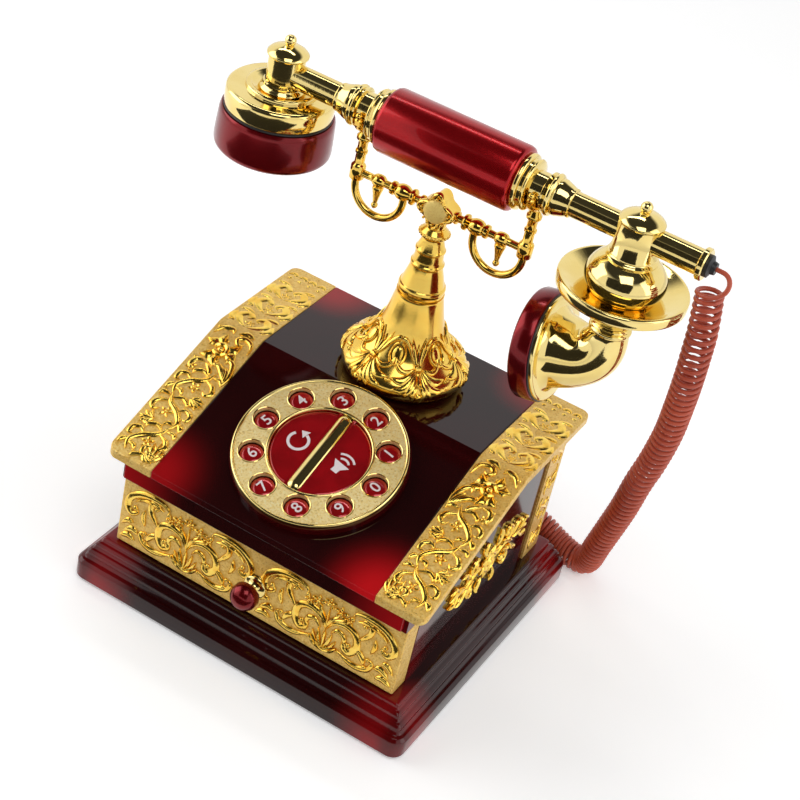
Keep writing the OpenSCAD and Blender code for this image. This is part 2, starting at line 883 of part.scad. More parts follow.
// End block, post and the open fork that the handset's neck lies in
module cradle_fork(s) {
    in_r = neck_r + gap;
    out_r = in_r + 2.8;
    color([0.88, 0.68, 0.26])
    translate([s * fork_x, pillar_y, 0])
        union() {
            translate([0, 0, bar_z - block_h / 2])
                cylinder(r = 3.9, h = block_h);
            translate([-s * 7, 0, bar_z])
                rotate([0, s * 90, 0])
                    cylinder(r = bar_r, h = 7);
            translate([0, 0, bar_z])
                cylinder(r = 2.3, h = handset_up - out_r + 1);
            translate([0, 0, axis_z - out_r - 2.6])
                cylinder(r = 3, h = 2.4);
            difference() {
                translate([-fork_w / 2, 0, axis_z])
                    rotate([0, 90, 0])
                        cylinder(r = out_r, h = fork_w);
                translate([-fork_w, 0, axis_z])
                    rotate([0, 90, 0])
                        cylinder(r = in_r, h = 2 * fork_w);
                block(-fork_w, fork_w, -2 * out_r, 2 * out_r, axis_z - 1, axis_z + 2 * out_r);
            }
            for (y = [-1, 1])
                translate([0, y * (in_r + 1.8), axis_z - 1])
                    sphere(r = 1.8);
        }
}

// ---- handset ----

module handset_tube() {
    color([0.88, 0.68, 0.26])
    translate([0, pillar_y, axis_z])
        rotate([0, 90, 0])
            rotate_extrude()
                polygon([
                    [4.6, -ear_x], [tube_r, -ear_x], [tube_r, tube_end - 1.4],
                    [8.2, tube_end - 1.4], [8.2, tube_end + 1.8], [4.6, tube_end + 1.8]
                ]);
}

module handset_grip() {
    r = grip_d / 2;
    h = grip_l / 2;
    color([0.55, 0.01, 0.04])
    turned_x([
        [bore_r, -h], [r - 2.6, -h], [r - 0.8, -h + 0.8], [r, -h + 2.6],
        [r, h - 2.6], [r - 0.8, h - 0.8], [r - 2.6, h], [bore_r, h]
    ]);
}

// Turned collar between the grip and the tube, with the neck that lies in a fork
module collar(s) {
    h = grip_l / 2;
    neck0 = fork_x - fork_w / 2 - 0.5;
    neck1 = fork_x + fork_w / 2 + 0.5;
    profile = [
        [bore_r, h], [14.2, h], [14.2, h + 3.2], [12.6, h + 3.8], [12.6, neck0 - 2.2],
        [10.6, neck0 - 0.8], [neck_r, neck0], [neck_r, neck1], [10, neck1 + 0.6],
        [10, neck1 + 1.8], [9.2, neck1 + 2.4], [10.6, neck1 + 3.2], [10.6, neck1 + 5],
        [8.8, neck1 + 6.4], [8.8, neck1 + 8], [7.6, neck1 + 9.6], [7.6, neck1 + 11.6],
        [bore_r, neck1 + 14.5]
    ];
    color([0.88, 0.68, 0.26])
    translate([0, pillar_y, axis_z])
        rotate([0, s * 90, 0])
            rotate_extrude()
                polygon(profile);
}

finial = [
    [9.6, 7.4], [10.4, 8.6], [10.6, 10.6], [8.8, 13.4], [6.2, 15.6], [4.4, 16.2], [4.4, 17.6],
    [3, 19.6], [0, 20.2]
];

module hub(x, low) {
    color([0.88, 0.68, 0.26])
    difference() {
        turned_z(x, [
            [0, axis_z + low], [10.8, axis_z + low], [10.8, axis_z + low + 1.6],
            [9.4, axis_z + low + 2.6], [9.8, axis_z + 5.6],
            for (p = finial) [p[0], axis_z + p[1]]
        ]);
        translate([0, pillar_y, axis_z])
            rotate([0, 90, 0])
                translate([0, 0, x < 0 ? x - fit : x - 20])
                    cylinder(r = bore_r, h = 40);
    }
}

ear_top = axis_z - 6.5;
ear_seam = axis_z - 20.7;
ear_low = axis_z - ear_drop;

module ear_hub() {
    hub(-ear_x, -9.5);
}

module ear_cap() {
    color([0.88, 0.68, 0.26])
    turned_z(-ear_x, [
        [ear_r - 4.8, ear_seam], [ear_r - 2.2, ear_seam], [ear_r - 2.2, ear_top - 5.4],
        [ear_r - 4, ear_top - 3.6], [18.4, ear_top - 3.2], [18.4, ear_top - 0.8],
        [15.6, ear_top - 0.8], [14, axis_z - 9.5], [0, axis_z - 9.5],
        [0, axis_z - 12.4], [ear_r - 7, axis_z - 12.4], [ear_r - 4.8, axis_z - 14.6]
    ]);
}

// Red cup of the earpiece: a hollow drum with a perforated face that looks down
module ear_cup() {
    color([0.42, 0.02, 0.04])
    difference() {
        turned_z(-ear_x, [
            [0, ear_low + 1], [ear_r - 8, ear_low + 1], [ear_r - 6, ear_low],
            [ear_r - 2, ear_low + 0.6], [ear_r, ear_low + 3], [ear_r - 0.4, ear_seam - 1],
            [ear_r - 1.4, ear_seam], [ear_r - 4.6, ear_seam], [ear_r - 4.6, ear_low + 4],
            [0, ear_low + 4]
        ]);
        for (i = [0 : 5])
            translate([-ear_x, pillar_y, ear_low - 1])
                rotate(i * 60)
                    translate([8, 0, 0])
                        cylinder(r = 1.4, h = 8);
    }
}

// Receiver on the floor of the earpiece's cup
module receiver_capsule() {
    floor_z = ear_low + 4;
    color([0.35, 0.35, 0.37])
    turned_z(-ear_x, [
        [0, floor_z], [ear_r - 9, floor_z], [ear_r - 9, floor_z + 6], [13, floor_z + 8],
        [13, floor_z + 13], [0, floor_z + 13]
    ]);
}

module mouth_hub() {
    // the hub stands on an oblate ball that fills the saucer
    z = axis_z;
    color([0.88, 0.68, 0.26])
    difference() {
        turned_z(mouth_x, [
            [0, z - 31], [16, z - 31], [19.4, z - 29], [20.4, z - 26.5], [19.6, z - 22],
            [16.6, z - 18], [12.6, z - 15.4], [11.4, z - 15], [11.4, z - 13.4], [10.2, z - 13],
            [10.2, z - 11.8], [9, z - 11], [10.4, z - 6], [10.6, z], [9.6, z + 6],
            for (p = finial) [p[0], z + p[1]]
        ]);
        translate([mouth_x - 20, pillar_y, z])
            rotate([0, 90, 0])
                cylinder(r = bore_r, h = 40);
    }
}

module mouth_saucer() {
    r = saucer_d / 2;
    z = axis_z;
    color([0.88, 0.68, 0.26])
    turned_z(mouth_x, [
        [0, horn_top], [10.2, horn_top], [10.2, horn_top + 4], [9, horn_top + 5],
        [12, horn_top + 11], [22, z - 36],
        [r - 2, z - 33.4], [r, z - 32], [r, z - 28.6], [r - 1, z - 27.6], [r - 3, z - 28.4],
        [22, z - 31], [0, z - 31]
    ]);
}

// The horn bends from the neck under the saucer to the back of the mouthpiece's cup
module mouth_horn() {
    back = mouth_c + [1.6 * cos(mouth_tilt), pillar_y, 1.6 * sin(mouth_tilt)];
    out = [cos(mouth_tilt), 0, sin(mouth_tilt)];
    neck = [mouth_x, pillar_y, horn_top - 0.8];
    bend = [
        for (i = [0 : 16])
            let (t = i / 16, u = 1 - t)
                u * u * u * neck + 3 * u * u * t * (neck - [0, 0, 17])
                    + 3 * u * t * t * (back + 17 * out) + t * t * t * back
    ];
    radii = [8.2, for (i = [0 : 16]) 8.2 + 10.6 * pow(i / 16, 1.3)];
    color([0.88, 0.68, 0.26]) {
        tube([[mouth_x, pillar_y, horn_top], each bend], radii, 32, [0, 1, 0]);
        translate(mouth_c + [0, pillar_y, 0])
            rotate([0, 90 - mouth_tilt, 0])
                cylinder(r = mouth_r - 1.2, h = 1.8);
    }
}

capsule_r = 11;
capsule_t = 2.8;

module in_mouth() {
    translate(mouth_c + [0, pillar_y, 0])
        rotate([0, -90 - mouth_tilt, 0])
            children();
}

// Red cup of the mouthpiece, with a perforated face over the microphone's pocket
module mouth_cup() {
    color([0.42, 0.02, 0.04])
    in_mouth()
        difference() {
            rotate_extrude()
                polygon([
                    [0, 0], [mouth_r - 0.8, 0], [mouth_r, 0.8], [mouth_r, 6.4],
                    [mouth_r - 1.4, 7.6], [mouth_r - 4.6, 7.6], [mouth_r - 7, 4.6], [0, 4.6]
                ]);
            translate([0, 0, -1])
                cylinder(r = capsule_r + gap, h = capsule_t + 1 + gap);
            for (i = [0 : 5])
                rotate(i * 60)
                    translate([8, 0, 1.4])
                        cylinder(r = 1.4, h = 8);
        }
}

module microphone_capsule() {
    color([0.35, 0.35, 0.37])
    in_mouth()
        cylinder(r = capsule_r, h = capsule_t);
}

// ---- cord ----

module cord_gland() {
    x = tube_end + 1.8;
    color([0.05, 0.05, 0.05])
    turned_x([
        [0, x], [5.6, x], [5.6, x + 1.6], [3.4, x + 2.6], [3, x + 4.6], [0, x + 4.6]
    ]);
}

module cord_plug() {
    y = back_y;
    color([0.06, 0.06, 0.06])
    union() {
        block(socket_x - 3.7, socket_x + 3.7, y - 8.6, y + 4, socket_z - 3.2, socket_z + 3.2);
        translate([socket_x, y + 4, socket_z])
            rotate([-90, 0, 0])
                cylinder(r = 2.6, h = 7);
    }
}

// The curly cord's envelope: a thin lead at each end and one fat tube between them
gland_end = [tube_end + 6.45, pillar_y, axis_z];
plug_end = [socket_x, back_y + 11.05, socket_z];
coil_route = [
    [141.4, 37.2, 239.5], [142.6, 37.2, 231], [143.8, 38.5, 217], [143.8, 41, 201],
    [143.2, 45, 184], [141.8, 50, 165], [139.6, 56, 144], [134.8, 64, 119], [129.4, 71, 97],
    [124.2, 79, 72], [118.4, 87, 49], [113, 94, 28], [109.2, 100, 13], [105, 101.6, 8.4],
    [98, 102, 8.4], [88, 103.6, 10.4], [76, 104.5, 15], [65, 103, 19], [57, 99, 27]
];
lead_top = [
    gland_end + [0.8, 0, 0], [144.2, 37.2, 251.2], [146.6, 37.2, 248.6], [145.6, 37.2, 246],
    [142.6, 37.2, 244.6]
];
lead_end = [[54, 97.2, 31], [50, 95, 35.4], [46.6, 91, 39.4], plug_end + [0, 0.8, 0]];

module handset_cord() {
    coil = smooth(coil_route, 3);
    top = smooth(lead_top, 2);
    end = smooth(lead_end, 2);
    radii = [
        wire_d / 2, for (p = top) wire_d / 2, for (p = coil) coil_d / 2,
        for (p = end) wire_d / 2, wire_d / 2
    ];
    color([0.62, 0.2, 0.13])
    tube([gland_end, each top, each coil, each end, plug_end], radii, 12, [0, 1, 0]);
}

// ---- what is drawn ----

plinth();
base_cover();
feet();
ballast_plate();
loudspeaker();
circuit_board();
hook_switch();
housing();
back_panel();
handset_socket();
line_socket();
ringer_slider();
drawer_front();
drawer_tray();
knob_base();
knob_tip();
roof_shell();
roof_strip(-1);  // roof_strip_left
roof_strip(1);  // roof_strip_right
side_ornament(-1);  // side_ornament_left
side_ornament(1);  // side_ornament_right
corner_band(-1);  // corner_band_left
corner_band(1);  // corner_band_right
dial_base();
dial_ring();
dial_bar();
digit_button(0);  // digit_0
digit_button(1);  // digit_1
digit_button(2);  // digit_2
digit_button(3);  // digit_3
digit_button(4);  // digit_4
digit_button(5);  // digit_5
digit_button(6);  // digit_6
digit_button(7);  // digit_7
digit_button(8);  // digit_8
digit_button(9);  // digit_9
half_moon(-1);  // redial_button
half_moon(1);  // speaker_button
pillar_foot();
pillar_column();
cradle_head();
cradle_bar();
cradle_fork(-1);  // cradle_fork_left
cradle_fork(1);  // cradle_fork_right
handset_tube();
handset_grip();
collar(-1);  // collar_left
collar(1);  // collar_right
ear_hub();
ear_cap();
ear_cup();
receiver_capsule();
mouth_hub();
mouth_saucer();
mouth_horn();
mouth_cup();
microphone_capsule();
cord_gland();
cord_plug();
handset_cord();
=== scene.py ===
"""A novelty desk telephone in antique style: its looks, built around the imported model."""
import math

import bmesh
import bpy
from bpy.props import FloatProperty, IntProperty, PointerProperty
from mathutils import Matrix, Quaternion, Vector


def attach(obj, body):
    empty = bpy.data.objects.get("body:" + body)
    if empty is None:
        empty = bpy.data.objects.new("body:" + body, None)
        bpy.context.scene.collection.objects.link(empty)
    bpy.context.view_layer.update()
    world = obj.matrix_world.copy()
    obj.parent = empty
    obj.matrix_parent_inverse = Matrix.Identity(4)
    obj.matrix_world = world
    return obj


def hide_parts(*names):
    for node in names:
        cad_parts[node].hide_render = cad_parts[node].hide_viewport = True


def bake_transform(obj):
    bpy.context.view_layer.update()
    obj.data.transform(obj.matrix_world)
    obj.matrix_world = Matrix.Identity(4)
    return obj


bl_info = {
    "name": "Antique Style Telephone",
    "version": (1, 0, 0),
    "blender": (4, 5, 0),
    "location": "3D View > Sidebar > Telephone",
    "description": "Dresses the packed model of a novelty desk telephone",
    "category": "Add Mesh",
}

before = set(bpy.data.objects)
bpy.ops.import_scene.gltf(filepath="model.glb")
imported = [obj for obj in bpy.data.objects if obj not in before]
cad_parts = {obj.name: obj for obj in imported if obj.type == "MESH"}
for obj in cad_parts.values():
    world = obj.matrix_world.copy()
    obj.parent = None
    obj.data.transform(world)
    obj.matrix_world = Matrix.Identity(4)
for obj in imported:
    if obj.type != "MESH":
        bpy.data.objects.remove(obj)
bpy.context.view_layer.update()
MM = 0.001


# ---- sizes, in millimetres, as the part's source has them ----

PLINTH_W, PLINTH_D, PLINTH_H, PLINTH_R = 200.0, 186.0, 26.0, 7.0
FOOT_H = 1.5
CASE_W, BAND_W, BAND_T = 168.0, 17.5, 1.2
ORNAMENT_Y, ORNAMENT_Z = 4.5, 59.0
FACE_Y, BACK_Y = -80.0, 75.0
DRAWER_Z0, DRAWER_Z1, DRAWER_T = 26.8, 67.8, 13.0
ROOF_W, STRIP_W, STRIP_T = 186.0, 27.2, 4.5
PANEL_X = ROOF_W / 2 - STRIP_W      # the lacquered panel ends here, and the gilt strips begin
EAVE_Z, RIDGE_Z, RIDGE_Y = 85.5, 118.7, 5.0
ROOF_Y0, ROOF_Y1 = -86.5, 77.0
SLOPE = math.atan((RIDGE_Z - EAVE_Z) / (RIDGE_Y - ROOF_Y0))
SLOPE_L = math.hypot(RIDGE_Z - EAVE_Z, RIDGE_Y - ROOF_Y0)
DIAL_S, DIAL_R, DIAL_IN, DIAL_H, DIAL_BASE = 51.8, 44.5, 25.6, 6.4, 3.4
HOLE_R, HOLE_CIRCLE, DIGIT_TURN = 6.5, 33.9, 32.0
PILLAR_Y = 37.2
BAR_Z, AXIS_Z = 217.0, 251.7
FORK_X = 48.4
EAR_X, MOUTH_X = -98.8, 100.7
TUBE_R, BORE_R, GRIP_R, GRIP_H = 6.5, 6.55, 17.0, 37.8
MOUTH_TILT = 11.0


# ---- shader expressions ----

class Tree:
    """Adds nodes to one material."""

    def __init__(self, name):
        self.material = bpy.data.materials.new(name)
        self.material.use_nodes = True
        self.nodes = self.material.node_tree.nodes
        self.links = self.material.node_tree.links
        self.nodes.clear()

    def put(self, kind, settings=(), **sockets):
        node = self.nodes.new("ShaderNode" + kind)
        for key, value in dict(settings).items():
            if key == "stops":
                ramp = node.color_ramp
                while len(ramp.elements) < len(value):
                    ramp.elements.new(0.5)
                for element, (place, colour) in zip(ramp.elements, value):
                    element.position, element.color = place, (*colour, 1)
            else:
                setattr(node, key, value)
        for key, value in sockets.items():
            self.feed(node.inputs[key.replace("_", " ")], value)
        return node

    def feed(self, socket, value):
        if isinstance(value, Value):
            self.links.new(value.socket, socket)
        elif isinstance(value, bpy.types.NodeSocket):
            self.links.new(value, socket)
        else:
            socket.default_value = value

    def math(self, operation, *values):
        node = self.nodes.new("ShaderNodeMath")
        node.operation = operation
        for socket, value in zip(node.inputs, values):
            self.feed(socket, value)
        return Value(self, node.outputs[0])

    def place(self):
        return self.put("TexCoord").outputs["Object"]

    def axes(self):
        split = self.put("SeparateXYZ", Vector=self.place())
        return [Value(self, split.outputs[i]) for i in range(3)]

    def noise(self, scale, detail=2.0, rough=0.5):
        node = self.put("TexNoise", Vector=self.place(), Scale=scale, Detail=detail,
                        Roughness=rough)
        return Value(self, node.outputs["Fac"])

    def mix(self, factor, a, b):
        node = self.nodes.new("ShaderNodeMix")
        node.data_type = "RGBA"
        self.feed(node.inputs[0], factor)
        for socket, value in ((node.inputs[6], a), (node.inputs[7], b)):
            self.feed(socket, (*value, 1) if isinstance(value, (tuple, list)) else value)
        return node.outputs[2]

    def bump(self, height, strength, distance):
        node = self.put("Bump", Height=height, Strength=strength, Distance=distance)
        return node.outputs["Normal"]

    def surface(self, **sockets):
        shader = self.put("BsdfPrincipled")
        for key, value in sockets.items():
            self.feed(shader.inputs[key.replace("_", " ")], value)
        self.put("OutputMaterial", Surface=shader.outputs[0])
        return self.material


class Value:
    """One number that changes over a surface; the usual signs add Math nodes."""

    def __init__(self, tree, socket):
        self.tree, self.socket = tree, socket

    def __add__(self, other):
        return self.tree.math("ADD", self, other)

    def __mul__(self, other):
        return self.tree.math("MULTIPLY", self, other)

    def __sub__(self, other):
        return self.tree.math("SUBTRACT", self, other)

    def __rsub__(self, other):
        return self.tree.math("SUBTRACT", other, self)

    def __truediv__(self, other):
        return self.tree.math("DIVIDE", self, other)

    def __pow__(self, other):
        return self.tree.math("POWER", self, other)

    __radd__ = __add__
    __rmul__ = __mul__

    def size(self):
        return self.tree.math("ABSOLUTE", self)

    def most(self, other):
        return self.tree.math("MAXIMUM", self, other)

    def step(self, low, high):
        """0 below low and 1 above high, with a soft change between them."""
        node = self.tree.put("MapRange", {"interpolation_type": "SMOOTHSTEP"})
        node.inputs["From Min"].default_value = low
        node.inputs["From Max"].default_value = high
        self.tree.feed(node.inputs["Value"], self)
        return Value(self.tree, node.outputs["Result"])


# ---- finishes ----

MAROON = (0.015, 0.0014, 0.0016)
BURST = (0.62, 0.008, 0.012)
PALE_GOLD = (0.88, 0.70, 0.28)
RICH_GOLD = (0.90, 0.60, 0.12)
CHAMPAGNE = (0.93, 0.61, 0.16)


def lacquer_finish(name, burst):
    """Near-black maroon lacquer; burst works out the red of its corners, from 0 to 1."""
    t = Tree(name)
    drift = t.noise(18, 3).step(0.3, 0.7)
    base = t.mix(drift, MAROON, (0.022, 0.0018, 0.0020))
    return t.surface(
        Base_Color=t.mix(burst(t), base, BURST),
        Roughness=t.noise(240, 2) * 0.05 + 0.04, IOR=1.42,
        Normal=t.bump(t.noise(9, 2), 0.02, 0.002))


CORNER_IN = 8.0         # the plinth's red begins this far in from its sides


def plinth_burst(t):
    """Red along the slab's corners, with the corner's own edge left dark."""
    x, y, z = t.axes()
    along_x = (x.size() * 1000 - (PLINTH_W / 2 - CORNER_IN)) * -1.0
    along_y = (y.size() * 1000 - (PLINTH_D / 2 - CORNER_IN)) * -1.0
    far = along_x.most(0) + along_y.most(0)
    wave = t.noise(30, 2) * 10
    red = (1 - (far + wave).step(14, 40)) * (far.step(-1, 7) * 0.6 + 0.4)
    return red * (0.46 - (z * 1000).step(4, 13) * 0.2)


def roof_burst(t):
    """Red in the middle panel's corners and along its sides."""
    x, y = t.axes()[:2]
    side = PANEL_X - x.size() * 1000
    front = y * 1000 - ROOF_Y0
    back = ROOF_Y1 - y * 1000
    at_front = 1 - ((side * side + front * front) ** 0.5).step(5, 42)
    at_back = 1 - ((side * side + back * back) ** 0.5).step(6, 34)
    near_front = at_front * at_front * (0.55 + x.step(-0.02, 0.02) * 0.35)
    return near_front.most(at_back * 0.55)


def fascia_burst(t):
    """Red towards both ends of the fascia."""
    return (t.axes()[0].size() * 1000).step(42, 84) * 0.5


def case_burst(t):
    """A little red on the case's own sides, by its corners."""
    x, y = t.axes()[:2]
    at_side = (x.size() * 1000).step(52, 83)
    return at_side * ((y * 1000).step(40, 74) * 0.2 + (y * -1000).step(45, 66) * 0.15)


def well_burst(t):
    """A faint, even drift of red under the dial."""
    return t.noise(40, 2) * 0.1


def gilt_finish():
    """Gold-plated moulding: a finely grained champagne ground."""
    t = Tree("gilt_ground")
    grain = t.noise(950, 3, 0.6)
    blot = t.noise(260, 3, 0.6)
    tint = t.mix(blot.step(0.42, 0.68), CHAMPAGNE, (0.84, 0.50, 0.09))
    tint = t.mix(grain.step(0.54, 0.68) * 0.7, tint, (0.44, 0.22, 0.035))
    tint = t.mix((1 - grain.step(0.34, 0.46)) * 0.7, tint, (0.98, 0.78, 0.32))
    return t.surface(
        Base_Color=tint, Metallic=0.5,
        Roughness=grain * 0.2 + 0.26,
        Normal=t.bump(grain + blot * 0.6, 0.6, 0.0006))


def ring_finish():
    """The dial ring's satin gold ground."""
    t = Tree("satin_gold")
    grain = t.noise(950, 3, 0.6)
    tint = t.mix(t.noise(600, 3).step(0.35, 0.7), (1.0, 0.80, 0.36), (0.96, 0.72, 0.26))
    tint = t.mix((1 - grain.step(0.34, 0.46)) * 0.7, tint, (1.0, 0.90, 0.55))
    return t.surface(
        Base_Color=t.mix(grain.step(0.54, 0.68) * 0.7, tint, (0.56, 0.34, 0.08)),
        Metallic=0.35, Roughness=grain * 0.16 + 0.24,
        Normal=t.bump(grain, 0.6, 0.0005))


def candy_finish(name, tint, flake, metallic, rough, coat):
    """Metallic red lacquer over fine flakes.

    tint: a noise's scale and two colours; flake: where its step starts, and a colour."""
    t = Tree(name)
    scale, *colours = tint
    start, spark = flake
    ground = t.mix(t.noise(scale, 3).step(0.3, 0.75), *colours)
    return t.surface(
        Base_Color=t.mix(t.noise(1900, 2).step(start, start + 0.16) * 0.4, ground, spark),
        Metallic=metallic, Roughness=t.noise(1500, 2) * 0.12 + rough,
        Coat_Weight=coat[0], Coat_Roughness=coat[1])


def field_finish():
    """The grained gold field of the cradle's head."""
    t = Tree("grained_gold")
    grain = t.noise(1300, 3, 0.6)
    return t.surface(
        Base_Color=t.mix(grain.step(0.5, 0.72), (0.97, 0.72, 0.22), (0.84, 0.54, 0.13)),
        Metallic=0.45, Roughness=grain * 0.2 + 0.24,
        Normal=t.bump(grain, 0.6, 0.0005))


def plain_finish(name, tint, rough, bump=None, **more):
    """One colour that drifts towards another.

    tint: a noise's scale and detail, the ends of its step or None, and two colours;
    rough: a noise's scale and detail, its share, and the least roughness;
    bump: a noise's scale and detail, and the bump's strength and distance."""
    t = Tree(name)
    scale, detail, ends, *colours = tint
    drift = t.noise(scale, detail)
    shown = {"Base_Color": t.mix(drift.step(*ends) if ends else drift, *colours)}
    scale, detail, share, least = rough
    shown["Roughness"] = t.noise(scale, detail) * share + least
    if bump:
        scale, detail, strength, distance = bump
        shown["Normal"] = t.bump(t.noise(scale, detail), strength, distance)
    return t.surface(**shown, **more)


def plain(*args, **more):
    """What makes a plain finish, for the table below."""
    return lambda: plain_finish(*args, **more)


def lacquer(name, burst):
    """What makes a lacquer, for the table below."""
    return lambda: lacquer_finish(name, burst)


def gold(name, colour, deep, least=0.05):
    """Polished gold; least is the roughness of its smoothest places."""
    return plain(name, (60, 3, (0.35, 0.7), colour, deep), (420, 3, 0.06, least),
                 (700, 2, 0.04, 0.0003), Metallic=1.0)


def cast_relief(name):
    """Cast gold relief."""
    return plain(name, (180, 3, (0.35, 0.7), (0.97, 0.67, 0.13), (0.90, 0.53, 0.07)),
                 (600, 3, 0.1, 0.10), (1200, 2, 0.15, 0.0004), Metallic=1.0)


# each finish: what makes it, and the record's slot that it belongs to
FINISHES = {
    "plinth": (lacquer("lacquer_plinth", plinth_burst), "maroon_lacquer"),
    "roof": (lacquer("lacquer_roof", roof_burst), "maroon_lacquer"),
    "fascia": (lacquer("lacquer_fascia", fascia_burst), "maroon_lacquer"),
    "case": (lacquer("lacquer_case", case_burst), "maroon_lacquer"),
    "well": (lacquer("lacquer_dial", well_burst), "maroon_lacquer"),
    "gilt": (gilt_finish, "gilt_plastic"),
    "ring_gilt": (ring_finish, "plated_plastic"),
    "field": (field_finish, "polished_gold"),
    "gold": (gold("polished_gold", RICH_GOLD, (0.84, 0.52, 0.09)), "polished_gold"),
    "pillar": (gold("pillar_gold", RICH_GOLD, (0.84, 0.52, 0.09), 0.13), "plated_plastic"),
    "plated": (gold("gold_plating", PALE_GOLD, (0.84, 0.64, 0.22)), "plated_plastic"),
    "relief_gilt": (cast_relief("gilt_relief"), "gilt_plastic"),
    "relief_plated": (cast_relief("plated_relief"), "plated_plastic"),
    "red": (lambda: candy_finish("candy_red", (25, (0.42, 0.0015, 0.005), (0.32, 0.001, 0.004)),
                                 (0.56, (0.75, 0.02, 0.02)), 0.75, 0.17, (0.3, 0.04)),
            "red_gloss"),
    "cup": (lambda: candy_finish("cup_red", (30, (0.22, 0.002, 0.005), (0.15, 0.0015, 0.004)),
                                 (0.58, (0.42, 0.02, 0.02)), 0.7, 0.15, (0.25, 0.06)),
            "red_gloss"),
    "button": (plain("button_red", (90, 3, (0.3, 0.75), (0.50, 0.004, 0.009), (0.36, 0.003, 0.006)),
                     (500, 2, 0.05, 0.10), Metallic=0.35, IOR=1.55, Coat_Weight=0.6,
                     Coat_Roughness=0.03), "button_red"),
    "figure": (plain("figure_white", (900, 3, None, (0.90, 0.82, 0.83), (0.80, 0.71, 0.72)),
                     (900, 2, 0.1, 0.35)), "button_red"),
    "black": (plain("black_moulding", (200, 3, None, (0.012, 0.012, 0.013), (0.022, 0.021, 0.021)),
                    (500, 3, 0.2, 0.34), (1600, 2, 0.2, 0.0003)), "black_plastic"),
    "rubber": (plain("foot_rubber", (150, 3, None, (0.014, 0.014, 0.014), (0.03, 0.028, 0.027)),
                     (700, 3, 0.2, 0.6), (1300, 3, 0.4, 0.0004)), "foot_rubber"),
    "steel": (plain("dull_steel", (120, 3, None, (0.36, 0.36, 0.37), (0.26, 0.26, 0.27)),
                    (500, 3, 0.2, 0.32), (900, 2, 0.1, 0.0003), Metallic=1.0), "steel_weight"),
    "board": (plain("board_green", (300, 2, (0.4, 0.6), (0.010, 0.070, 0.030),
                                    (0.016, 0.10, 0.042)),
                    (400, 2, 0.1, 0.4)), "board_green"),
    "spring": (plain("spring_leaves", (200, 2, None, (0.60, 0.48, 0.26), (0.50, 0.38, 0.18)),
                     (400, 2, 0.1, 0.3), Metallic=1.0), "board_green"),
    "vinyl": (plain("cord_vinyl", (45, 3, (0.3, 0.7), (0.56, 0.092, 0.040), (0.46, 0.068, 0.030)),
                    (600, 3, 0.12, 0.30), (900, 2, 0.1, 0.0003)), "cord_vinyl"),
}
_made = {}


def finish_of(name):
    """The finish's material, made when it is first asked for."""
    if name not in _made:
        _made[name] = FINISHES[name][0]()
    return _made[name]


# ---- mesh helpers: everything is worked out in millimetres ----

def linked(name, data):
    """An object with this data, linked into the scene."""
    made = bpy.data.objects.new(name, data)
    bpy.context.scene.collection.objects.link(made)
    return made


def piece(name, verts, faces, finish, body, replaces=None, smooth=40.0, weld=0.0):
    """Makes a closed mesh piece from points in millimetres and hangs it on its body."""
    mesh = bpy.data.meshes.new(name)
    mesh.from_pydata([Vector(v) * MM for v in verts], [], faces)
    if weld:
        bm = bmesh.new()
        bm.from_mesh(mesh)
        bmesh.ops.remove_doubles(bm, verts=bm.verts, dist=weld * MM)
        bm.to_mesh(mesh)
        bm.free()
    soften(mesh, smooth)
    made = linked(name, mesh)
    mesh.materials.append(finish_of(finish))
    if body:
        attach(made, body)
    if replaces:
        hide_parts(replaces)
    return made


def fillet(points, radius, steps=4):
    """Rounds each corner of an open line of (across, along) points."""
    points = [Vector(p) for p in points]
    out = [points[0]]
    for a, b, c in zip(points, points[1:], points[2:]):
        u, v = a - b, c - b
        if u.length < 1e-6 or v.length < 1e-6:
            continue
        angle = u.angle(v)
        if angle > math.pi - 0.06:
            out.append(b)
            continue
        cut = min(radius / math.tan(angle / 2), u.length * 0.46, v.length * 0.46)
        p, q = b + u.normalized() * cut, b + v.normalized() * cut
        for k in range(steps + 1):
            s = k / steps
            out.append(p * (1 - s) ** 2 + b * 2 * s * (1 - s) + q * s * s)
    out.append(points[-1])
    return [tuple(p) for p in out]


def flow(points, steps=6):
    """A smooth line through points of any dimension."""
    p = [Vector(v) for v in points]
    out = []
    for i in range(len(p) - 1):
        a, b, c, d = p[max(i - 1, 0)], p[i], p[i + 1], p[min(i + 2, len(p) - 1)]
        for k in range(steps):
            t = k / steps
            out.append((b * 2 + (c - a) * t + (a * 2 - b * 5 + c * 4 - d) * t * t
                        + (b * 3 - a - c * 3 + d) * t ** 3) * 0.5)
    out.append(p[-1])
    return out


def skin(rings, sides):
    """Faces over equal rings of points that follow one another, with a cap at each end."""
    faces = []
    for low in range(0, (rings - 1) * sides, sides):
        for k in range(sides):
            m = (k + 1) % sides
            faces.append((low + k, low + m, low + sides + m, low + sides + k))
    last = (rings - 1) * sides
    return faces + [tuple(range(sides)), tuple(range(last, last + sides))]


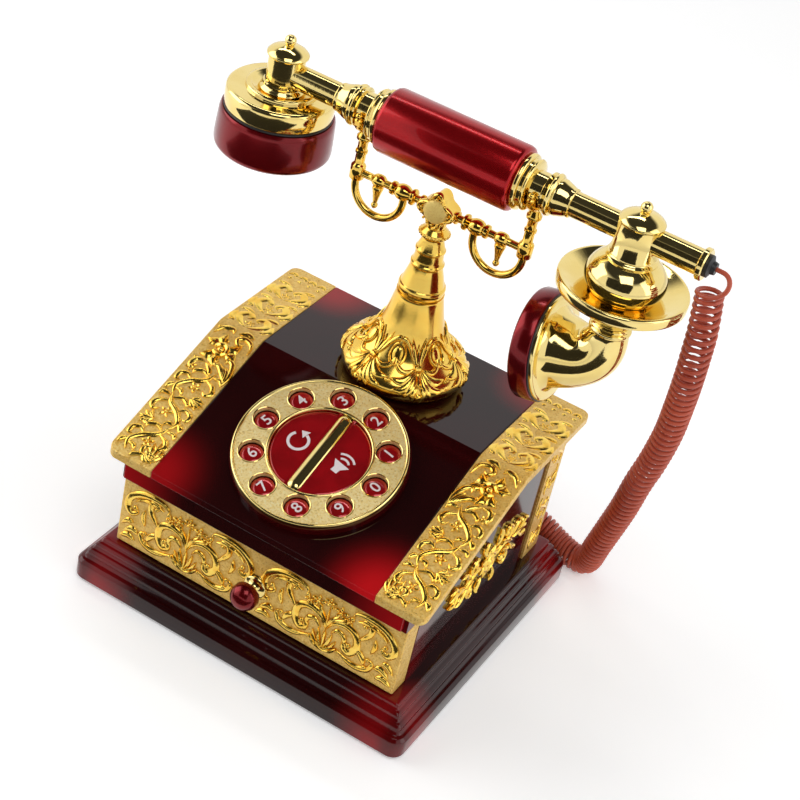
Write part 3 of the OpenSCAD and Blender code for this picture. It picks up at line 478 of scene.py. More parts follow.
def lathe(profile, place, turns=96, closed=False):
    """A turned solid: profile holds (radius, height) points, place puts +Z and the origin."""
    verts, rings = [], []
    for r, h in profile:
        if r < 1e-4:
            rings.append([len(verts)])
            verts.append(place @ Vector((0, 0, h)))
        else:
            rings.append(list(range(len(verts), len(verts) + turns)))
            for k in range(turns):
                a = 2 * math.pi * k / turns
                verts.append(place @ Vector((r * math.cos(a), r * math.sin(a), h)))
    faces = []
    pairs = list(zip(rings, rings[1:])) + ([(rings[-1], rings[0])] if closed else [])
    for low, high in pairs:
        if len(low) == 1 and len(high) == 1:
            continue
        for k in range(turns):
            m = (k + 1) % turns
            if len(low) == 1:
                faces.append((low[0], high[m], high[k]))
            elif len(high) == 1:
                faces.append((low[k], low[m], high[0]))
            else:
                faces.append((low[k], low[m], high[m], high[k]))
    if not closed:
        for ring in (rings[0], rings[-1]):
            if len(ring) > 1:
                faces.append(tuple(ring))
    return verts, faces


def turned(name, profile, place, turns, finish, body, replaces=None, smooth=50, closed=False):
    """A lathe's solid as a piece."""
    return piece(name, *lathe(profile, place, turns, closed), finish, body, replaces, smooth)


def upright(x, y=PILLAR_Y, z=0.0):
    """A place whose +Z points up."""
    return Matrix.Translation((x, y, z))


def along_x(x=0.0, z=AXIS_Z, sign=1):
    """A place whose +Z points along X, or against it where sign is -1."""
    return Matrix.Translation((x, PILLAR_Y, z)) @ Matrix.Rotation(sign * math.pi / 2, 4, "Y")


def joined(*parts):
    """Several solids as one list of points and one of faces."""
    verts, faces = [], []
    for part_verts, part_faces in parts:
        base = len(verts)
        verts.extend(part_verts)
        faces.extend(tuple(i + base for i in f) for f in part_faces)
    return verts, faces


def frames_along(path, start=None):
    """Two unit vectors across the path at each point, turned as little as possible."""
    n = len(path)
    ts = [(path[min(i + 1, n - 1)] - path[max(i - 1, 0)]).normalized() for i in range(n)]
    side = Vector(start) if start else ts[0].orthogonal()
    out = []
    for t in ts:
        side = (side - t * side.dot(t)).normalized()
        out.append((side.copy(), t.cross(side)))
    return out


def tube(path, radius, sides=16, start=None):
    """A round tube along a path; radius is a number or one number for each point."""
    path = [Vector(p) for p in path]
    radii = radius if isinstance(radius, (list, tuple)) else [radius] * len(path)
    verts = []
    for p, r, (a, b) in zip(path, radii, frames_along(path, start)):
        for k in range(sides):
            t = 2 * math.pi * k / sides
            verts.append(p + a * (r * math.cos(t)) + b * (r * math.sin(t)))
    return verts, skin(len(path), sides)


def ball(centre, r, rings=8, turns=14):
    """A ball, turned on a lathe."""
    profile = [(r * math.sin(math.pi * k / rings), -r * math.cos(math.pi * k / rings))
               for k in range(rings + 1)]
    profile[0], profile[-1] = (0.0, -r), (0.0, r)
    return lathe(profile, Matrix.Translation(centre), turns)


def brick(x0, x1, y0, y1, z0, z1):
    """A box between these limits."""
    verts = [Vector((x, y, z)) for z in (z0, z1) for y in (y0, y1) for x in (x0, x1)]
    return verts, [(0, 1, 3, 2), (4, 6, 7, 5), (0, 4, 5, 1), (2, 3, 7, 6), (0, 2, 6, 4),
                   (1, 5, 7, 3)]


def bevelled(made, width, segments=3, angle=30.0):
    """Rounds a piece's edges for good."""
    bevel = made.modifiers.new("edge", "BEVEL")
    bevel.width, bevel.segments = width * MM, segments
    bevel.limit_method, bevel.angle_limit = "ANGLE", math.radians(angle)
    bevel.harden_normals = True
    return applied(made)


def soften(mesh, angle):
    """Smooth shading, with sharp edges where the surface turns by more than the angle."""
    bm = bmesh.new()
    bm.from_mesh(mesh)
    bmesh.ops.recalc_face_normals(bm, faces=bm.faces)
    limit = math.radians(angle)
    for face in bm.faces:
        face.smooth = True
    for edge in bm.edges:
        edge.smooth = len(edge.link_faces) == 2 and edge.calc_face_angle(0) < limit
    bm.to_mesh(mesh)
    bm.free()


def applied(made):
    """Turns a piece's modifiers into plain mesh."""
    graph = bpy.context.evaluated_depsgraph_get()
    mesh = bpy.data.meshes.new_from_object(made.evaluated_get(graph))
    made.modifiers.clear()
    made.data = mesh
    return made


def carved(made, parts, smooth=40.0):
    """Cuts closed parts, given in millimetres, out of a piece."""
    verts, faces = joined(*parts)
    mesh = bpy.data.meshes.new("cutter")
    mesh.from_pydata([Vector(v) * MM for v in verts], [], faces)
    soften(mesh, smooth)
    cutter = linked("cutter", mesh)
    cut = made.modifiers.new("cut", "BOOLEAN")
    cut.operation, cut.solver, cut.object = "DIFFERENCE", "EXACT", cutter
    applied(made)
    bpy.data.objects.remove(cutter)
    soften(made.data, smooth)
    return made


def extrusion(points, x0, x1):
    """A side view of (y, z) points, given a thickness along X."""
    n = len(points)
    verts = [Vector((x, y, z)) for x in (x0, x1) for y, z in points]
    faces = [(i, (i + 1) % n, n + (i + 1) % n, n + i) for i in range(n)]
    return verts, faces + [tuple(range(n)), tuple(range(n, 2 * n))]


def stack(outline, levels, place):
    """A flat form of (u, v) points: each level is (how far it draws in, height)."""
    n = len(outline)
    normals = []
    for i in range(n):
        a, b = Vector(outline[i - 1]), Vector(outline[(i + 1) % n])
        t = (b - a).normalized()
        normals.append(Vector((t.y, -t.x)))
    verts = []
    for inset, height in levels:
        for p, away in zip(outline, normals):
            q = Vector(p) - away * inset
            verts.append(place @ Vector((q.x, q.y, height)))
    return verts, skin(len(levels), n)


def rounded_box(w, d, r, steps=6):
    """A rectangle's outline with rounded corners, anticlockwise."""
    out = []
    for sx, sy, a0 in ((1, -1, -90), (1, 1, 0), (-1, 1, 90), (-1, -1, 180)):
        for k in range(steps + 1):
            a = math.radians(a0 + 90 * k / steps)
            out.append((sx * (w / 2 - r) + r * math.cos(a), sy * (d / 2 - r) + r * math.sin(a)))
    return out


def bead_ring(name, count, radius, bead_size, finish, body, place):
    """Small balls on a circle, set out by geometry nodes and then made plain mesh."""
    tree = bpy.data.node_groups.new(name + "_nodes", "GeometryNodeTree")
    for label, kind in (("Count", "NodeSocketInt"), ("Radius", "NodeSocketFloat"),
                        ("Bead size", "NodeSocketFloat"), ("Material", "NodeSocketMaterial")):
        tree.interface.new_socket(name=label, in_out="INPUT", socket_type=kind)
    tree.interface.new_socket(name="Mesh", in_out="OUTPUT", socket_type="NodeSocketGeometry")
    start = tree.nodes.new("NodeGroupInput")
    end = tree.nodes.new("NodeGroupOutput")
    circle = tree.nodes.new("GeometryNodeMeshCircle")
    ball_mesh = tree.nodes.new("GeometryNodeMeshIcoSphere")
    ball_mesh.inputs["Subdivisions"].default_value = 3
    copies = tree.nodes.new("GeometryNodeInstanceOnPoints")
    real = tree.nodes.new("GeometryNodeRealizeInstances")
    coat = tree.nodes.new("GeometryNodeSetMaterial")
    for node, output, to, socket in (
            (start, "Count", circle, "Vertices"), (start, "Radius", circle, "Radius"),
            (start, "Bead size", ball_mesh, "Radius"), (circle, "Mesh", copies, "Points"),
            (ball_mesh, "Mesh", copies, "Instance"), (copies, "Instances", real, "Geometry"),
            (real, "Geometry", coat, "Geometry"), (start, "Material", coat, "Material"),
            (coat, "Geometry", end, "Mesh")):
        tree.links.new(node.outputs[output], to.inputs[socket])
    made = linked(name, bpy.data.meshes.new(name))
    nodes = made.modifiers.new("beads", "NODES")
    nodes.node_group = tree
    values = {"Count": count, "Radius": radius * MM, "Bead size": bead_size * MM,
              "Material": finish_of(finish)}
    for item in tree.interface.items_tree:
        if item.in_out == "INPUT":
            nodes[item.identifier] = values[item.name]
    applied(made)
    shift = place.copy()
    shift.translation = shift.translation * MM
    made.data.transform(shift)
    soften(made.data, 60)
    if not made.data.materials:
        made.data.materials.append(finish_of(finish))
    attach(made, body)
    return made


# ---- relief: strokes drawn flat as (across, up) and then laid on a surface ----

# a stroke's section as (across, out), each in shares of its width and height
RIDGE = [
    (-0.5, -0.25), (-0.5, 0.3), (-0.34, 0.78), (0.0, 1.0), (0.34, 0.78), (0.5, 0.3), (0.5, -0.25),
]


def ridge(points, width, height, lay, steps=5, taper=(0.25, 0.25)):
    """One raised stroke. lay turns (across, up, out) into a point of the model."""
    path = flow([Vector((*p, 0)) for p in points], steps)
    n = len(path)
    widths = width if isinstance(width, (list, tuple)) else [width] * 2
    verts = []
    for i, p in enumerate(path):
        s = i / (n - 1)
        place = s * (len(widths) - 1)
        low = min(int(place), len(widths) - 2)
        w = widths[low] + (widths[low + 1] - widths[low]) * (place - low)
        ends = min(1.0, (s / taper[0]) ** 0.6 if taper[0] else 1.0,
                   ((1 - s) / taper[1]) ** 0.6 if taper[1] else 1.0)
        ends = max(ends, 0.12)
        t = (path[min(i + 1, n - 1)] - path[max(i - 1, 0)]).normalized()
        for across, out in RIDGE:
            q = p + Vector((-t.y, t.x, 0)) * (across * w * ends)
            verts.append(lay(q.x, q.y, out * height * (0.45 + 0.55 * ends)))
    return verts, skin(n, len(RIDGE))


def broad(width, by):
    """The same width, or list of widths, made wider."""
    return [w * by for w in width] if isinstance(width, (list, tuple)) else width * by


def bead(u, v, r, height, lay, turns=10):
    """A half-round drop on the surface."""
    verts = [lay(u, v, height)]
    faces = []
    for out, size in ((0.82, 0.55), (0.4, 0.9), (-0.25, 1.0)):
        for k in range(turns):
            a = 2 * math.pi * k / turns
            verts.append(lay(u + r * size * math.cos(a), v + r * size * math.sin(a), out * height))
    for k in range(turns):
        m = (k + 1) % turns
        faces.append((0, 1 + k, 1 + m))
        for ring in range(2):
            b = 1 + ring * turns
            faces.append((b + k, b + turns + k, b + turns + m, b + m))
    faces.append(tuple(1 + 2 * turns + k for k in range(turns)))
    return verts, faces


def curl(u, v, r0, r1, a0, a1, n=9):
    """Points of a spiral about (u, v), angles in degrees."""
    out = []
    for i in range(n):
        s = i / (n - 1)
        a, r = math.radians(a0 + (a1 - a0) * s), r0 + (r1 - r0) * s
        out.append((u + r * math.cos(a), v + r * math.sin(a)))
    return out


def flower(u, v, r, petals, height, lay, turn=0.0):
    """A bead with petals around it; turn is in degrees."""
    parts = [bead(u, v, r * 0.28, height * 1.25, lay)]
    for k in range(petals):
        a = math.radians(turn) + 2 * math.pi * k / petals
        c, s = math.cos(a), math.sin(a)
        petal = [(u + r * c * far, v + r * s * far) for far in (0.22, 0.6, 1)]
        parts.append(ridge(petal, [r * 0.3, r * 0.52, r * 0.12], height * 0.85, lay, 3,
                           (0.2, 0.35)))
    return parts


def fan(u, v, length, a0, a1, leaves, width, height, lay):
    """An acanthus fan: leaves that spread from one point."""
    parts = []
    for k in range(leaves):
        s = k / (leaves - 1)
        a = math.radians(a0 + (a1 - a0) * s)
        size = length * (0.72 + 0.28 * math.sin(math.pi * s))
        bend = (s - 0.5) * 1.1
        mid = (u + size * 0.55 * math.cos(a), v + size * 0.55 * math.sin(a))
        tip = (u + size * math.cos(a - bend * 0.5), v + size * math.sin(a - bend * 0.5))
        parts.append(ridge([(u, v), mid, tip], [width * 0.5, width, width * 0.7], height, lay, 5,
                           (0.1, 0.3)))
    return parts


def mirrored(make):
    """The parts that make draws, and their mirror image."""
    return make(1) + make(-1)


# ---- plinth, case and roof ----

MOULDING = [
    (0, FOOT_H), (0, 11.2), (1.6, 12.9), (3.4, 13.4), (4.4, 15), (4.4, 17.2), (5.6, 18.4),
    (6.6, 18.9), (7.4, 20.2), (7.4, 21.6), (8.4, 22.6), (9.4, 23.1), (10, 24), (10, 25.2),
    (10.8, PLINTH_H),
]


def swept_moulding():
    """The plinth's moulding carried round the footprint, closed under the deck."""
    line = fillet([(3.0, 4.6), (3.0, FOOT_H), *MOULDING, (14, PLINTH_H)], 0.9, 4)
    verts, steps = [], 7
    for inset, z in line:
        r = max(PLINTH_R - inset, 1.2)
        outline = rounded_box(PLINTH_W - 2 * inset, PLINTH_D - 2 * inset, r, steps)
        verts.extend(Vector((x, y, z)) for x, y in outline)
    return verts, skin(len(line), 4 * (steps + 1))


def roof_z(y):
    """Height of the roof's top at y."""
    return RIDGE_Z if y > RIDGE_Y else EAVE_Z + (y - ROOF_Y0) * math.tan(SLOPE)


def on_strip(side):
    """Lays (across, up the slope, out) on one end of the roof; across grows outwards."""
    middle = ROOF_W / 2 - STRIP_W / 2

    def lay(u, v, out):
        x = side * (middle + u)
        if v < SLOPE_L:
            return Vector((x, ROOF_Y0 + v * math.cos(SLOPE) - out * math.sin(SLOPE),
                           EAVE_Z + v * math.sin(SLOPE) + out * math.cos(SLOPE)))
        return Vector((x, RIDGE_Y + v - SLOPE_L, RIDGE_Z + out))
    return lay


def strip_plate(side, rise):
    """The gilt plate on one end of the roof, bent over the ridge, its outer corners round."""
    x0, x1, r = PANEL_X, ROOF_W / 2, 5.0
    turns = (0.3, 0.6, 0.9, 1.2, 1.45)
    plan = [(x0, ROOF_Y0), (x1 - r, ROOF_Y0)]
    plan += [(x1 - r + r * math.sin(a), ROOF_Y0 + r - r * math.cos(a)) for a in turns]
    plan += [(x1, ROOF_Y0 + r), (x1, RIDGE_Y), (x1, ROOF_Y1 - r)]
    plan += [(x1 - r + r * math.cos(a), ROOF_Y1 - r + r * math.sin(a)) for a in turns]
    plan += [(x1 - r, ROOF_Y1), (x0, ROOF_Y1), (x0, RIDGE_Y)]
    n = len(plan)
    verts = [Vector((side * x, y, roof_z(y) + lift)) for lift in (-STRIP_T, rise) for x, y in plan]
    faces = [(i, (i + 1) % n, n + (i + 1) % n, n + i) for i in range(n)]
    front = [i for i, (x, y) in enumerate(plan) if y <= RIDGE_Y]
    back = [i for i, (x, y) in enumerate(plan) if y >= RIDGE_Y]
    for level in (0, n):
        faces.append(tuple(level + i for i in front))
        faces.append(tuple(level + i for i in back))
    return verts, faces


# one S of the strip's vine, as strokes of points and widths
VINE = [
    ([(5.5, 0), (7.5, 6), (3, 12), (-3.5, 16), (-6, 22)], [1.3, 1.9, 1.4]),
    ([(3, 12), (6.5, 15), (10.2, 13.4), (10.4, 9.6), (7.8, 9.4)], [1.3, 1.7, 1.0]),
    ([(7.5, 6), (10.5, 4.6), (11.4, 1.4)], [1.1, 1.9, 0.9]),
    ([(7, 4), (3.4, 4.4), (1.8, 1.6)], [0.9, 1.6, 0.8]),
    ([(-3.5, 16), (-8.8, 14.4), (-11, 10.4), (-8.6, 7.8), (-6, 9.8)], [1.3, 1.8, 1.0]),
    ([(-6, 19), (-10.4, 19.6), (-11.8, 16.6)], [1.0, 1.6, 0.8]),
    ([(-4.6, 17.6), (0.4, 20.6), (4.6, 18.8), (4.8, 16.2)], [1.1, 1.7, 0.8]),
]
VINE_BEADS = [(10.9, 13.2), (-11.2, 12), (5.6, 15.2), (1.4, 1.2), (-7.2, 4.2)]
# one scroll of the roof's level back part
BACK_SCROLL = [
    ([(0, 0), (5, 3), (8.4, 8), (5.2, 12.6), (1.8, 10), (4, 7.4)], [2.0, 2.6, 1.5]),
    ([(8, 1), (11.4, 5), (11.2, 11)], [1.5, 2.2, 1.2]),
    ([(3, 14), (8.6, 15.4), (11.6, 14.2)], [1.3, 2, 1]),
]


def strip_relief(side, h):
    """Vines, scrolls, rosettes and one large flower, laid up the strip."""
    lay = on_strip(side)
    add = []

    def stroke(points, width, height=1.0, taper=(0.25, 0.25), steps=5):
        add.append(ridge(points, broad(width, 1.9), h * height, lay, steps, taper))

    # a spray of leaves in the inner bottom corner
    add.extend(fan(-9.5, 3.5, 13, 42, 128, 5, 2.0, h, lay))
    stroke([(-9.5, 3), (-4, 5.5), (0, 4), (1.5, 1.8)], 1.5)
    stroke(curl(-4.6, 9.2, 3.4, 0.8, 250, 600), [1.5, 1.3, 0.9])
    # the vine: one S after another, each with a curl, a rosette and leaves
    for i, v0 in enumerate((4, 24, 44)):
        m = 1 if i % 2 == 0 else -1
        for points, width in VINE:
            stroke([(u * m, v0 + v) for u, v in points], width)
        add.extend(fan(-4.4 * m, v0 + 2.2, 8, 90 + 50 * m, 90 + 145 * m, 5, 2.6, h, lay))
        add.extend(flower(-1.6 * m, v0 + 9.4, 3.9, 5, h, lay, 20 * i))
        add.extend(flower(8.4 * m, v0 + 20, 3.2, 6, h, lay, 11 * i))
        add.extend(bead(u * m, v0 + v, 0.9, h, lay) for u, v in VINE_BEADS)
    # the acanthus wing beside the inner edge
    for k in range(5):
        stroke([(-11.8 + k * 0.9, 62 + k * 1.1), (-10.6 + k * 1.6, 68 + k * 0.8),
                (-7.6 + k * 2.0, 72.5 - k * 0.6)], [1.2, 1.9, 0.9], 1.15)
    stroke([(-12, 60), (-12.2, 68), (-9.8, 75), (-6.6, 76.6), (-5.6, 73.8)], [1.4, 1.9, 1.0], 1.15)
    stroke([(6.2, 62), (9.6, 64.8), (8.2, 69.4), (3.4, 69.6)], [1.2, 1.9, 1.3])
    stroke([(3.2, 69.6), (-1.4, 66.4), (-2.6, 62.8)], [1.1, 1.7, 0.9])
    add.append(bead(9.8, 69.8, 1.2, h, lay))
    # the large flower and its ball
    mid = (1.2, 80.0)
    for a in range(18, 378, 60):
        c, s = math.cos(math.radians(a)), math.sin(math.radians(a))
        turn = 2.2 if a % 120 == 18 else -2.2
        stroke([(mid[0] + 3.6 * c, mid[1] + 3.6 * s),
                (mid[0] + 7.2 * c - turn * s * 0.5, mid[1] + 7.2 * s + turn * c * 0.5),
                (mid[0] + 11.2 * c, mid[1] + 11.2 * s)], [1.4, 3.6, 0.8], 1.25, (0.15, 0.5))
        stroke([(mid[0] + 4.4 * c, mid[1] + 4.4 * s), (mid[0] + 9.4 * c, mid[1] + 9.4 * s)],
               [0.5, 0.4], 1.75, (0.3, 0.3))
    stroke(curl(*mid, 3.5, 3.5, 0, 340, 12), [1.5, 1.5], 1.7, (0.05, 0.05))
    add.append(bead(*mid, 2.2, 2.6, lay, 16))
    # scrolls between the flower and the ridge
    stroke([(-12, 84), (-10.6, 90.6), (-5.4, 92.8), (-2.4, 90.2), (-4.6, 87.6), (-7.2, 89)],
           [1.4, 1.9, 1.0], 1.15)
    stroke([(-9.6, 95), (-4.8, 96), (-0.6, 93.6)], [1.1, 1.7, 0.9])
    stroke([(11.6, 88), (8.6, 93.4), (3.4, 94.8), (1.8, 92.4)], [1.2, 1.8, 0.9])
    add.append(bead(10.6, 92.8, 1.3, h * 1.2, lay))
    # the level back part: the same scrolls, much flatter
    for i, v0 in enumerate((100, 118, 136)):
        m = 1 if i % 2 else -1
        for t in (m, -m):
            for points, width in BACK_SCROLL:
                stroke([(u * t, v0 + v) for u, v in points], width, 0.5)
            add.append(bead(10.4 * t, v0 + 1.4, 1.1, h * 0.5, lay))
        add.extend(flower(0, v0 + 4.6, 3.2, 5, h * 0.55, lay, 30 * i))
    for u in (-9, -3, 3, 9):
        add.append(bead(u, 157.5, 1.5, h * 0.5, lay))
        stroke([(u - 2.6, 160.2), (u, 162.8), (u + 2.6, 160.2)], [1.2, 1.8, 1.2], 0.5)
    return add


OPENWORK_H, VINE_H, ACANTHUS_H = 1.9, 0.8, 1.25         # how high each relief stands


def side_openwork(side, h):
    """The cast spray that stands off one side of the case."""
    def lay(u, v, out):
        return Vector((side * (CASE_W / 2 + 0.5 + out), ORNAMENT_Y + u, ORNAMENT_Z + v))
    add = flower(0, 0, 9.5, 8, h, lay, 22.5)
    add.append(ridge(curl(0, 0, 5.2, 5.2, 0, 350, 14), [1.8, 1.8], h, lay, 3, (0.05, 0.05)))

    def half(m):
        def s(points, width, steps=5):
            return ridge([(u * m, v) for u, v in points], width, h, lay, steps)
        return [
            s([(7, 0), (14, 3.4), (21, 1.4), (27, -2)], [2.2, 3.4, 1.8]),
            s(curl(17, 9.4, 6.4, 2.0, 250, 520, 11), [2.2, 2.4, 1.6], 4),
            s(curl(17, -8.8, 6.0, 2.0, 110, -160, 11), [2.2, 2.4, 1.6], 4),
            s([(6, 7), (9, 13), (7, 17.4)], [2.2, 3.4, 1.6]),
            s([(6, -7), (9, -13), (6.6, -17.2)], [2.2, 3.4, 1.6]),
            s([(24, 3), (28, 8.6), (33, 9.6)], [2.0, 3.2, 1.4]),
            s([(24, -3), (28, -8.4), (33, -9.2)], [2.0, 3.2, 1.4]),
            s([(26, 0), (33, 0.4), (42, 0)], [2.4, 4.2, 1.6]),
            s([(33, 1), (37, 5.6), (42.4, 5)], [1.8, 2.8, 1.2]),
            s([(33, -1), (37, -5.2), (42.4, -4.4)], [1.8, 2.8, 1.2]),
            bead(17 * m, 8.6, 2.2, h, lay), bead(17 * m, -8.2, 2.2, h, lay),
            bead(22.6 * m, 5.2, 1.6, h * 0.9, lay), bead(22.6 * m, -5.0, 1.6, h * 0.9, lay),
        ]
    return add + mirrored(half)


def band_relief(side, h):
    """A low vine up the gilt band on a rear corner of the case."""
    def lay(u, v, out):
        return Vector((side * (CASE_W / 2 + BAND_T + out), BACK_Y - BAND_W / 2 + u, v))
    add = []
    for i in range(4):
        m, z = (1 if i % 2 else -1), 30 + 19 * i
        top = min(z + 17, 104) - z
        for points, width in (
                ([(4, 0), (5, 5), (0, 9), (-5, 12), (-4, top)], [1.4, 2.0, 1.4]),
                ([(0, 9), (4.4, 12), (6, 9)], [1.2, 1.9, 0.9]),
                ([(-5, 12), (-6.4, 7), (-3.6, 4)], [1.2, 1.8, 0.9])):
            add.append(ridge([(u * m, z + v) for u, v in points], width, h, lay))
        add.extend(flower(-1.4 * m, z + 4, 2.6, 5, h, lay, 24 * i))
    return add


# ---- drawer ----

def drawer_relief(centre, h):
    """One scroll group of the drawer front; its two halves mirror each other."""
    def lay(u, v, out):
        return Vector((centre + u, FACE_Y - out, (DRAWER_Z0 + DRAWER_Z1) / 2 + v))

    def half(m):
        def s(points, width, height=1.0, taper=(0.25, 0.25)):
            return ridge([(u * m, v) for u, v in points], broad(width, 1.7), h * height, lay, 6,
                         taper)
        return [
            s([(1, -2), (4, 3), (10, 5.5), (16, 3), (18, -4), (15, -9.5), (11.5, -8.5),
               (11.5, -5.5), (14, -5)], [1.8, 2.5, 2.6, 1.6]),
            bead(13.6 * m, -5.4, 1.4, h, lay),
            s([(3, -4), (6, -0.5), (9.5, -1), (11, -4), (9.5, -6.5)], [1.2, 1.9, 1.2]),
            s([(18, -4), (22, -8), (24, -12)], [1.9, 2.2, 1.0]), bead(24.2 * m, -13, 1.4, h, lay),
            s([(17, 0), (21, 4), (24, 9), (23, 14), (19.5, 14), (19, 11)], [1.5, 2.2, 1.3]),
            bead(20.4 * m, 11.2, 1.3, h, lay),
            s([(13, 13), (15, 16), (22, 17), (30, 15.5), (36, 11), (38, 5), (35, 1), (31.5, 3),
               (33, 6)], [1.6, 2.4, 2.4, 1.6]),
            s([(16, 12.4), (22, 13.6), (29, 12.6), (33.6, 9)], [0.9, 1.4, 0.9]),
            bead(33 * m, 5.4, 1.5, h, lay), bead(13 * m, 12, 1.3, h, lay),
            s([(0, -3), (2, 4), (6, 9)], [1.0, 1.2, 0.9]),
            *flower(6.5 * m, 11.4, 4.3, 5, h, lay, 90),
            s([(1.4, 1), (5, 6), (11, 8.5)], [0.8, 1.0, 0.8]),
            *flower(11.6 * m, 9.4, 2.8, 5, h, lay, 30),
            s([(38, -12), (33, -9), (29.6, -10.4)], [1.2, 2.6, 1.0]),
            s([(40, -16), (35, -14), (31, -15.4)], [1.2, 2.4, 1.0]),
            s([(40, -8.4), (36, -4.4), (33, -4.8)], [1.0, 2.0, 0.9]),
            s([(9, -12), (14, -14.5), (20, -15.5), (26, -13.5), (28, -9), (26, -7)],
              [1.4, 2.1, 1.4]),
            bead(25.4 * m, -7.6, 1.3, h, lay), bead(8.8 * m, -12.6, 1.2, h, lay),
            s([(26, -3), (27.6, 2), (27, 7)], [1.0, 1.8, 0.9]),
        ]
    add = mirrored(half)
    add.extend(fan(0, -16.5, 13.5, 20, 160, 7, 2.3, h * 1.1, lay))
    add.append(ridge([(0, -8), (0, 2), (0, 12)], [1.2, 1.2, 0.9], h, lay))
    add.extend(flower(0, 14, 3.6, 5, h, lay, 90))
    add.append(bead(0, -15.4, 2.0, h * 1.3, lay, 14))
    return add


# ---- dial ----

DIAL = Matrix.Translation(
    (0, ROOF_Y0 + DIAL_S * math.cos(SLOPE), EAVE_Z + DIAL_S * math.sin(SLOPE))
) @ Matrix.Rotation(SLOPE, 4, "X")


def hole_place(digit):
    """Middle of a digit's finger hole, across and up the dial."""
    a = math.radians(DIGIT_TURN + 36 * ((digit + 9) % 10))
    return HOLE_CIRCLE * math.cos(a), HOLE_CIRCLE * math.sin(a)


READING = Matrix.Rotation(math.radians(78), 4, "Z")     # the dial is read sideways


def figure(name, digit, body, place, size):
    """A plain raised figure, standing sideways as on the real dial."""
    text = bpy.data.curves.new(name, "FONT")
    text.body, text.size, text.extrude, text.offset = str(digit), size * MM, 0.1 * MM, 0.07 * MM
    text.align_x, text.align_y = "CENTER", "CENTER"
    text.resolution_u = 5
    holder = linked(name, text)
    graph = bpy.context.evaluated_depsgraph_get()
    mesh = bpy.data.meshes.new_from_object(holder.evaluated_get(graph))
    bpy.data.objects.remove(holder)
    points = [v.co / MM for v in mesh.vertices]
    mid = [(min(p[i] for p in points) + max(p[i] for p in points)) / 2 for i in range(2)]
    verts = [place @ READING @ (p - Vector((*mid, 0))) for p in points]
    faces = [tuple(f.vertices) for f in mesh.polygons]
    return piece(name, verts, faces, "figure", body, smooth=30, weld=0.001)


def moon(side, r, gap):
    """Half a disc's outline beside the bar, anticlockwise."""
    edge = math.acos(gap / r)
    n = 28
    arc = [(-edge + 2 * edge * k / n) for k in range(n + 1)]
    out = [(r * math.cos(a), r * math.sin(a)) for a in arc]
    return out if side > 0 else [(-x, -y) for x, y in out]


def flat_stroke(points, width, z, thick, place):
    """A line of even width, lying flat on a button."""
    path = flow([Vector((*p, 0)) for p in points], 5)
    verts, n = [], len(path)
    for i, p in enumerate(path):
        t = (path[min(i + 1, n - 1)] - path[max(i - 1, 0)]).normalized()
        side = Vector((-t.y, t.x, 0)) * (width / 2)
        for q, h in ((p - side, z), (p + side, z), (p + side, z + thick), (p - side, z + thick)):
            verts.append(place @ Vector((q.x, q.y, h)))
    return verts, skin(n, 4)


def arc_points(u, v, r, a0, a1):
    """Twelve points of an arc, from one angle to the other in degrees."""
    angles = [math.radians(a0 + (a1 - a0) * k / 11) for k in range(12)]
    return [(u + r * math.cos(a), v + r * math.sin(a)) for a in angles]


def hole_matrix(digit):
    return Matrix.Translation((*hole_place(digit), 0))


SIGN_Z, SIGN_T, SIGN_X = 4.86, 0.18, 13.0       # the signs on the half-moon buttons


SIGN_LEVELS = [(0, SIGN_Z), (0, SIGN_Z + SIGN_T)]


def redial_sign():
    """An open loop with an arrow's head at its end."""
    place, r = DIAL @ Matrix.Translation((-SIGN_X, 0, 0)) @ READING, 5.2
    loop = flat_stroke(arc_points(0, 0, r, 60, 350), 1.5, SIGN_Z, SIGN_T, place)
    a = math.radians(353)
    tip = Vector((r * math.cos(a), r * math.sin(a)))
    ahead, aside = Vector((-math.sin(a), math.cos(a))), Vector((math.cos(a), math.sin(a)))
    head = [tip - aside * 2.6, tip + aside * 2.6, tip + ahead * 3.8]
    return joined(loop, stack([tuple(p) for p in head], SIGN_LEVELS, place))


def speaker_sign():
    """A loudspeaker's horn with two sound waves, seen from the side."""
    place = DIAL @ Matrix.Translation((SIGN_X, 0, 0)) @ READING
    horn = [(-6.2, -1.9), (-3.6, -1.9), (0.0, -4.8), (0.0, 4.8), (-3.6, 1.9), (-6.2, 1.9)]
    waves = [flat_stroke(arc_points(-1.4, 0, r, -42, 42), 1.15, SIGN_Z, SIGN_T, place)
             for r in (4.2, 7.0)]
    return joined(stack(horn, SIGN_LEVELS, place), *waves)


# the dial's profiles, as (radius, height above its base), and levels, as (inset, height)
GROUND = [(27.2, DIAL_BASE), (42.9, DIAL_BASE), (42.9, 5.7), (27.2, 5.7)]
OUTER_RIM = [
    (42.4, DIAL_BASE), (44.3, DIAL_BASE), (DIAL_R, 3.9), (DIAL_R, 5.2), (44.1, 6.1),
    (43.4, DIAL_H), (42.9, 6.2), (42.4, 5.6),
]
INNER_RIM = [
    (DIAL_IN, DIAL_BASE), (27.4, DIAL_BASE), (27.4, 5.6), (27.1, 6.1), (26.6, DIAL_H),
    (26.0, 6.2), (DIAL_IN, 5.6),
]
HOLE_LIP = [(HOLE_R, 5.4), (7.2, 5.4), (7.15, 5.9), (6.85, 6.08), (6.55, 5.95)]
BUTTON_Z, BUTTON_TOP = 2.4, 4.3
BUTTON = [
    (0, BUTTON_Z), (6.2, BUTTON_Z), (6.2, 2.9), (5.8, 3.4), (5.0, 3.8), (4.0, 4.07), (3, 4.2),
    (0, BUTTON_TOP),
]
MOON_LEVELS = [(0, BUTTON_Z), (0, 4.2), (0.35, 4.6), (1.0, 4.8), (2.2, 4.9)]
